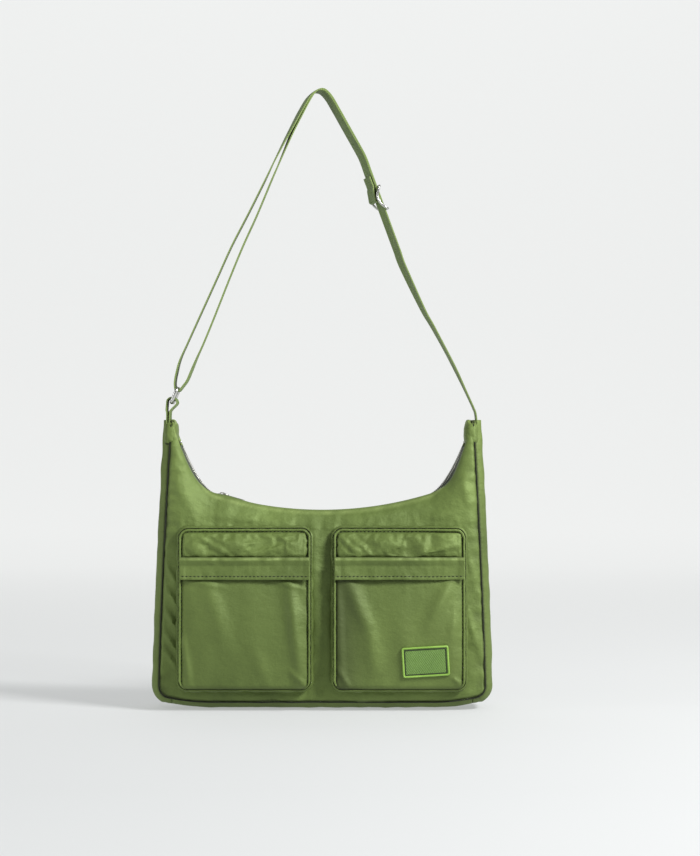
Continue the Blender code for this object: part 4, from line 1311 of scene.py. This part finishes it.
def offset_path(points, distance):
    moved = []
    for i, point in enumerate(points):
        before, after = points[max(i - 1, 0)], points[min(i + 1, len(points) - 1)]
        way = (after - before).normalized()
        moved.append(point + distance * Vector((-way.y, way.x)))
    return moved


def around_point(centre, radius, start, end, count):
    return [
        Vector(centre) + radius * Vector((math.cos(angle), math.sin(angle)))
        for angle in (math.radians(start + (end - start) * i / (count - 1)) for i in range(count))
    ]


def ribbon(name, path, material, twist, half=WEBBING_HALF):
    """Webbing along a path in the XZ plane. twist(x, z) turns its width out of the Y direction, about Z."""
    columns = len(path) - 1
    lengths = [0.0]
    for a, b in zip(path, path[1:]):
        lengths.append(lengths[-1] + (b - a).length)
    bm = bmesh.new()
    bmesh.ops.create_grid(bm, x_segments=columns, y_segments=10, size=1.0)
    weave = bm.verts.layers.float_vector.new("weave")
    for vertex in bm.verts:
        index = round((vertex.co.x + 1) / 2 * columns)
        across = vertex.co.y
        spot = path[index]
        way = (path[min(index + 1, columns)] - path[max(index - 1, 0)]).normalized()
        normal = Vector((-way.y, way.x))
        angle = twist(spot.x, spot.y)
        width = across * half
        cup = normal * (0.0004 * across ** 2)
        vertex[weave] = (lengths[index], width, 0.0)
        vertex.co = Vector((
            spot.x + cup.x - math.sin(angle) * width, math.cos(angle) * width, spot.y + cup.y
        ))
    obj = finish_mesh(name, bm, material)
    thicken(obj, WEBBING_THICK, 0.0)
    soft_edges(obj, 0.0003)
    return obj


def eased(low, high, value):
    """0 at low, 1 at high, smooth between."""
    share = min(max((value - low) / (high - low), 0.0), 1.0)
    return share * share * (3 - 2 * share)


def strap_twist(x, z):
    """How far the strap's width turns out of the Y direction. It is steady where the slide runs."""
    if x > 0.0:
        return STRAIGHT_TURN * (0.25 * eased(0.305, 0.345, z) + 0.75 * eased(0.350, 0.455, z))
    return LOW_TURN * eased(0.335, 0.360, z) + (STRAIGHT_TURN - LOW_TURN) * eased(0.520, 0.600, z)


def build_strap(material):
    """The strap's main run, through the ring and back up, and the short strand that ends at the slide."""
    rising = flat(
        (0.1545, HORN_Z - 0.004), (0.1532, SWING_Z), (0.1514, SWING_Z + 0.005), (0.1490, 0.304),
        (0.1430, 0.317), (0.1355, 0.333), (0.1275, 0.349), (0.1190, 0.365), (0.1097, 0.382), (0.1006, 0.398),
    )
    straight = [straight_point(0.440 + 0.094 * i / 6) for i in range(7)]
    over = flat(
        (0.0410, 0.549), (0.0330, 0.564), (0.0240, 0.580), (0.0145, 0.597), (0.0060, 0.611),
        (-0.0025, 0.6172), (-0.0125, 0.612), (-0.0215, 0.598),
    )
    falling = flat(
        (-0.0300, 0.582), (-0.0420, 0.559), (-0.0585, 0.525), (-0.0750, 0.492), (-0.0910, 0.461),
        (-0.1055, 0.429), (-0.1200, 0.397), (-0.1345, 0.365), (-0.1425, 0.347), (-0.1462, 0.333),
        (-0.1476, 0.3245),
    )
    wrap = around_point(RING_HIGH, 0.0031, 185, 320, 6)
    back_up = flat(
        (-0.1382, 0.3212), (-0.1345, 0.3265), (-0.1300, 0.337), (-0.1250, 0.349), (-0.1175, 0.366),
        (-0.1065, 0.393), (-0.0935, 0.426), (-0.0795, 0.460), (-0.0650, 0.492), (-0.0500, 0.528),
        (-0.0375, 0.557), (-0.0275, 0.580),
    )
    doubled = offset_path(straight[-3:] + over, STRAND_GAP)[1:-1][::-1]
    down, _ = strap_frame()
    last = Vector(ADJUSTER_CENTRE) - down * (ADJUSTER_HALF_LENGTH + 0.0014)
    ending = offset_path([last, last - down], STRAND_GAP)[:1]
    doubled = [point for point in doubled if point.y > ending[0].y + 0.004]
    split = [point for point in doubled if point.y > 0.56]
    rest = [point for point in doubled if point.y <= 0.56]
    outer = smooth_path(rising + straight + over + falling + wrap + back_up + split, 6)
    strand = smooth_path(split[-2:] + rest + ending, 6)[6:]
    main = ribbon("strap_webbing", outer, material, strap_twist)
    back = ribbon("strap_return", strand, material, strap_twist)
    return main, back


def build_tab_loop(material):
    foot = -HORN_HALF_WIDTH - 0.0035
    outline = (
        flat((foot - 0.0012, HORN_Z - 0.004), (foot - 0.0010, SWING_Z), (foot - 0.0016, SWING_Z + 0.0035))
        + around_point(RING_LOW, 0.0046, 190, -20, 8)
        + flat((foot + 0.0022, SWING_Z + 0.0035), (foot + 0.0010, SWING_Z), (foot + 0.0008, HORN_Z - 0.004))
    )
    return ribbon("horn_webbing_loop", smooth_path(outline, 5), material, lambda x, z: 0.0)


def build_ring(material):
    high = Vector((RING_HIGH[0], 0.0, RING_HIGH[1]))
    low = Vector((RING_LOW[0], 0.0, RING_LOW[1]))
    drop = low - high
    way = drop.normalized()
    radius = 0.004
    points = []
    corners = ((1, 0.0, 90), (1, drop.length, 0), (-1, drop.length, -90), (-1, 0.0, -180))
    for side, level, start in corners:
        turn_y = side * (RING_HALF_LENGTH - radius)
        turn_level = radius if level == 0.0 else drop.length - radius
        for step in range(9):
            angle = math.radians(start - 11.25 * step)
            y = turn_y + radius * math.cos(angle)
            down = turn_level - radius * math.sin(angle)
            points.append(high + Vector((0.0, y, 0.0)) + way * down)
    return round_line("ring_wire", points, RING_WIRE_R, material, closed=True, sides=6)


def build_adjuster(steel, cloth):
    down, away = strap_frame()
    centre = Vector(ADJUSTER_CENTRE)
    clear = 0.0004
    outer_level = WEBBING_THICK / 2 + clear + ADJUSTER_WIRE_R
    middle_level = -(STRAND_GAP + WEBBING_THICK / 2 + clear + ADJUSTER_WIRE_R)

    def place(t, y, n):
        spot = down * t + away * n
        return Vector((centre.x + spot.x - STRAIGHT_TURN * y, y, centre.y + spot.y))

    def level(t):
        return middle_level + (outer_level - middle_level) * (t / ADJUSTER_HALF_LENGTH) ** 2

    ts = [-0.0105 + 0.0015 * i for i in range(15)]
    inner_y = ADJUSTER_HALF_WIDTH - 0.0017
    near_t = ADJUSTER_HALF_LENGTH
    points = [place(-near_t, -inner_y, outer_level), place(-near_t, inner_y, outer_level)]
    points += [place(t, ADJUSTER_HALF_WIDTH, level(t)) for t in ts]
    points += [place(near_t, inner_y, outer_level), place(near_t, -inner_y, outer_level)]
    points += [place(t, -ADJUSTER_HALF_WIDTH, level(t)) for t in ts[::-1]]
    slide = round_line("slide_frame", points, ADJUSTER_WIRE_R, steel, closed=True, sides=6)
    shares = (-1.0, -0.5, 0.0, 0.5, 1.0)
    bar_points = [place(0.0, ADJUSTER_HALF_WIDTH * share, middle_level) for share in shares]
    bar = round_line("slide_bar", bar_points, ADJUSTER_WIRE_R * 0.96, steel, sides=6)

    wrap_r = ADJUSTER_WIRE_R + clear + WEBBING_THICK / 2
    tail_level = -(STRAND_GAP + WEBBING_THICK + 0.0003)
    loop = [Vector((-ADJUSTER_HALF_LENGTH - 0.0010, -STRAND_GAP)), Vector((-0.006, -STRAND_GAP))]
    loop += [
        Vector((wrap_r * math.sin(angle), middle_level + wrap_r * math.cos(angle)))
        for angle in (math.radians(30 * i) for i in range(7))
    ]
    loop += [Vector((-0.0060, tail_level - 0.0018)), Vector((-0.0105, tail_level - 0.0010))]
    loop += [Vector((-t, tail_level)) for t in (0.0130, 0.0185, 0.024)]
    path = [centre + down * point.x + away * point.y for point in smooth_path(loop, 4)]
    end = ribbon("strap_end_fold", path, cloth, lambda x, z: STRAIGHT_TURN)
    return slide, bar, end


# --- The whole bag ---

def build_floor(material):
    bend = 1.5
    flat_end = 2.2

    def point(u, v):
        run = -4.5 + (v + 1) / 2 * 14.0
        past = min(max(run - flat_end, 0.0), bend * math.pi / 2)
        over = max(0.0, run - flat_end - bend * math.pi / 2)
        y = min(run, flat_end) + bend * math.sin(past / bend)
        return u * 6.0, y, bend * (1.0 - math.cos(past / bend)) + over

    floor = spread("floor", 8, 160, point, material)


def put(piece, body, node=None):
    """Puts a piece on a body and, where it has one, hides the CAD node whose place it takes."""
    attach(piece, body)
    if node:
        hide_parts(node)


def build_looks():
    dark = rgb(34, 37, 22)
    return {
        "shell": nylon("shell_nylon_looks", rgb(84, 101, 47), rgb(108, 127, 64), dark),
        "sides": nylon("gusset_nylon_looks", rgb(82, 98, 46), rgb(108, 126, 64), dark, crease=0.0013),
        "pocket": nylon(
            "pocket_nylon_looks", rgb(80, 96, 44), rgb(102, 120, 60), dark, crease=0.0008, roughness=0.56
        ),
        "pad": nylon(
            "pad_nylon_looks", rgb(84, 100, 46), rgb(108, 127, 64), dark, crease=0.0012, roughness=0.62
        ),
        "lining": nylon("lining_looks", rgb(60, 72, 40), rgb(84, 98, 56), dark),
        "belt": webbing("webbing_looks", rgb(60, 82, 20), rgb(106, 134, 44)),
        "tape": zip_tape("zip_tape_looks"),
        "zip": polished("zip_metal_looks", rgb(205, 204, 198), 0.18, 0.12),
        "steel": polished("steel_looks", rgb(214, 214, 210), 0.12, 0.10),
        "hooks": fastener("hook_looks", rgb(38, 46, 26), rgb(76, 88, 50), 2600.0),
        "loops": fastener("loop_looks", rgb(44, 52, 30), rgb(84, 96, 56), 1500.0),
        "patch": rubber("patch_field_looks", rgb(86, 118, 50), rgb(106, 138, 64), 0.0021),
        "rim": rubber("patch_rim_looks", rgb(120, 158, 62), rgb(140, 178, 78), 0.05),
        "line": rubber("patch_line_looks", rgb(28, 38, 20), rgb(38, 50, 26), 0.05),
        "thread": thread_finish("thread_looks", rgb(16, 21, 9), rgb(32, 40, 18)),
        # A dark finish for the cord that paints the shadow in the seams.
        "seam": thread_finish("seam_looks", rgb(20, 24, 12), rgb(32, 38, 19)),
    }


def make_shell(looks):
    for word, side in (("front", -1), ("back", 1)):
        panel = build_panel(f"{word}_padding", side, looks["shell"])
        put(panel, "bag", f"{word}_panel")
        # The seam cord is a painted shadow of the seam's groove.
        put(seam_line(f"{word}_seam", side, looks["seam"]), "bag")
        put(build_teeth(word, side, looks["zip"]), "bag", f"zip_teeth_{word}")
        tape = build_tape(word, side, looks["tape"])
        put(tape, "bag", f"zip_tape_{word}")
    gussets = (
        ("left", side_rail(-1), False, 101.0), ("right", side_rail(1), True, 117.0),
        ("base", base_rail(), True, 133.0),
    )
    for word, rail, flip, seed in gussets:
        gusset = build_gusset(f"{word}_side_padding", rail, looks["sides"], flip, seed)
        put(gusset, "bag", f"{word}_gusset")
    lining = build_lining(looks["lining"])
    put(lining, "bag", "lining")


def make_zip_ends(looks):
    for word, side in (("left", -1), ("right", 1)):
        put(build_stop(word, side, looks["zip"]), "bag", f"zip_stop_{word}")
        tab = build_horn_tab(word, side, looks["pad"])
        put(tab, "bag", f"zip_end_tab_{word}")
    slider, bridge = build_slider(looks["zip"])
    put(slider, "zip_slider", "zip_slider")
    put(bridge, "zip_slider")
    pull, rim = build_pull(looks["zip"])
    put(pull, "zip_pull", "zip_pull")
    put(rim, "zip_pull")


def make_pocket(looks, word, side, seed):
    centre = side * POCKET_OFFSET
    cloth, pad, thread = looks["pocket"], looks["pad"], looks["thread"]
    wall = build_wall(word, centre, cloth, seed)
    face = build_face(word, centre, cloth, seed + 20.0)
    ridge = build_ridge(word, centre, pad, seed + 40.0)
    cover = build_cover(word, centre, pad, seed + 60.0)
    band, lines = build_band(word, centre, cloth, seed + 80.0)
    for piece, part in ((wall, "wall"), (face, "face"), (ridge, "ridge"), (cover, "cover")):
        put(piece, "bag", f"{word}_pocket_{part}")
    put(band, f"{word}_band", f"{word}_flap_band")
    put(stitches(f"{word}_band_stitches", lines, thread), f"{word}_band")
    put(stitches(f"{word}_edge_stitches", ridge_stitches(centre), thread), "bag")
    loop = build_tape_strip(f"{word}_loop_strip", centre, 0.0020, looks["loops"])
    put(loop, "bag", f"{word}_loop_tape")
    hook = build_tape_strip(f"{word}_hook_strip", centre, 0.0034, looks["hooks"])
    put(hook, f"{word}_band", f"{word}_hook_tape")


def make_patch(looks):
    field, frame_rim, inner = build_patch(looks["patch"], looks["rim"], looks["line"])
    put(field, "bag", "label_patch")
    put(frame_rim, "bag", "label_rim")
    put(inner, "bag")


def make_strap(looks):
    """The strap and its fittings."""
    main_strap, back_strap = build_strap(looks["belt"])
    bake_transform(main_strap)
    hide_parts("shoulder_strap")
    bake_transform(back_strap)
    tab_loop = build_tab_loop(looks["belt"])
    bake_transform(tab_loop)
    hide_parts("tab_loop")
    put(build_ring(looks["steel"]), "ring", "strap_ring")
    slide, bar, end = build_adjuster(looks["steel"], looks["belt"])
    put(slide, "adjuster", "strap_adjuster")
    put(bar, "adjuster")
    put(end, "adjuster", "strap_end_loop")


def main():
    build_camera()
    build_studio()
    build_floor(floor_finish())
    looks = build_looks()
    make_shell(looks)
    make_zip_ends(looks)
    for word, side, seed in (("left", -1, 201.0), ("right", 1, 233.0)):
        make_pocket(looks, word, side, seed)
    make_patch(looks)
    make_strap(looks)


main()
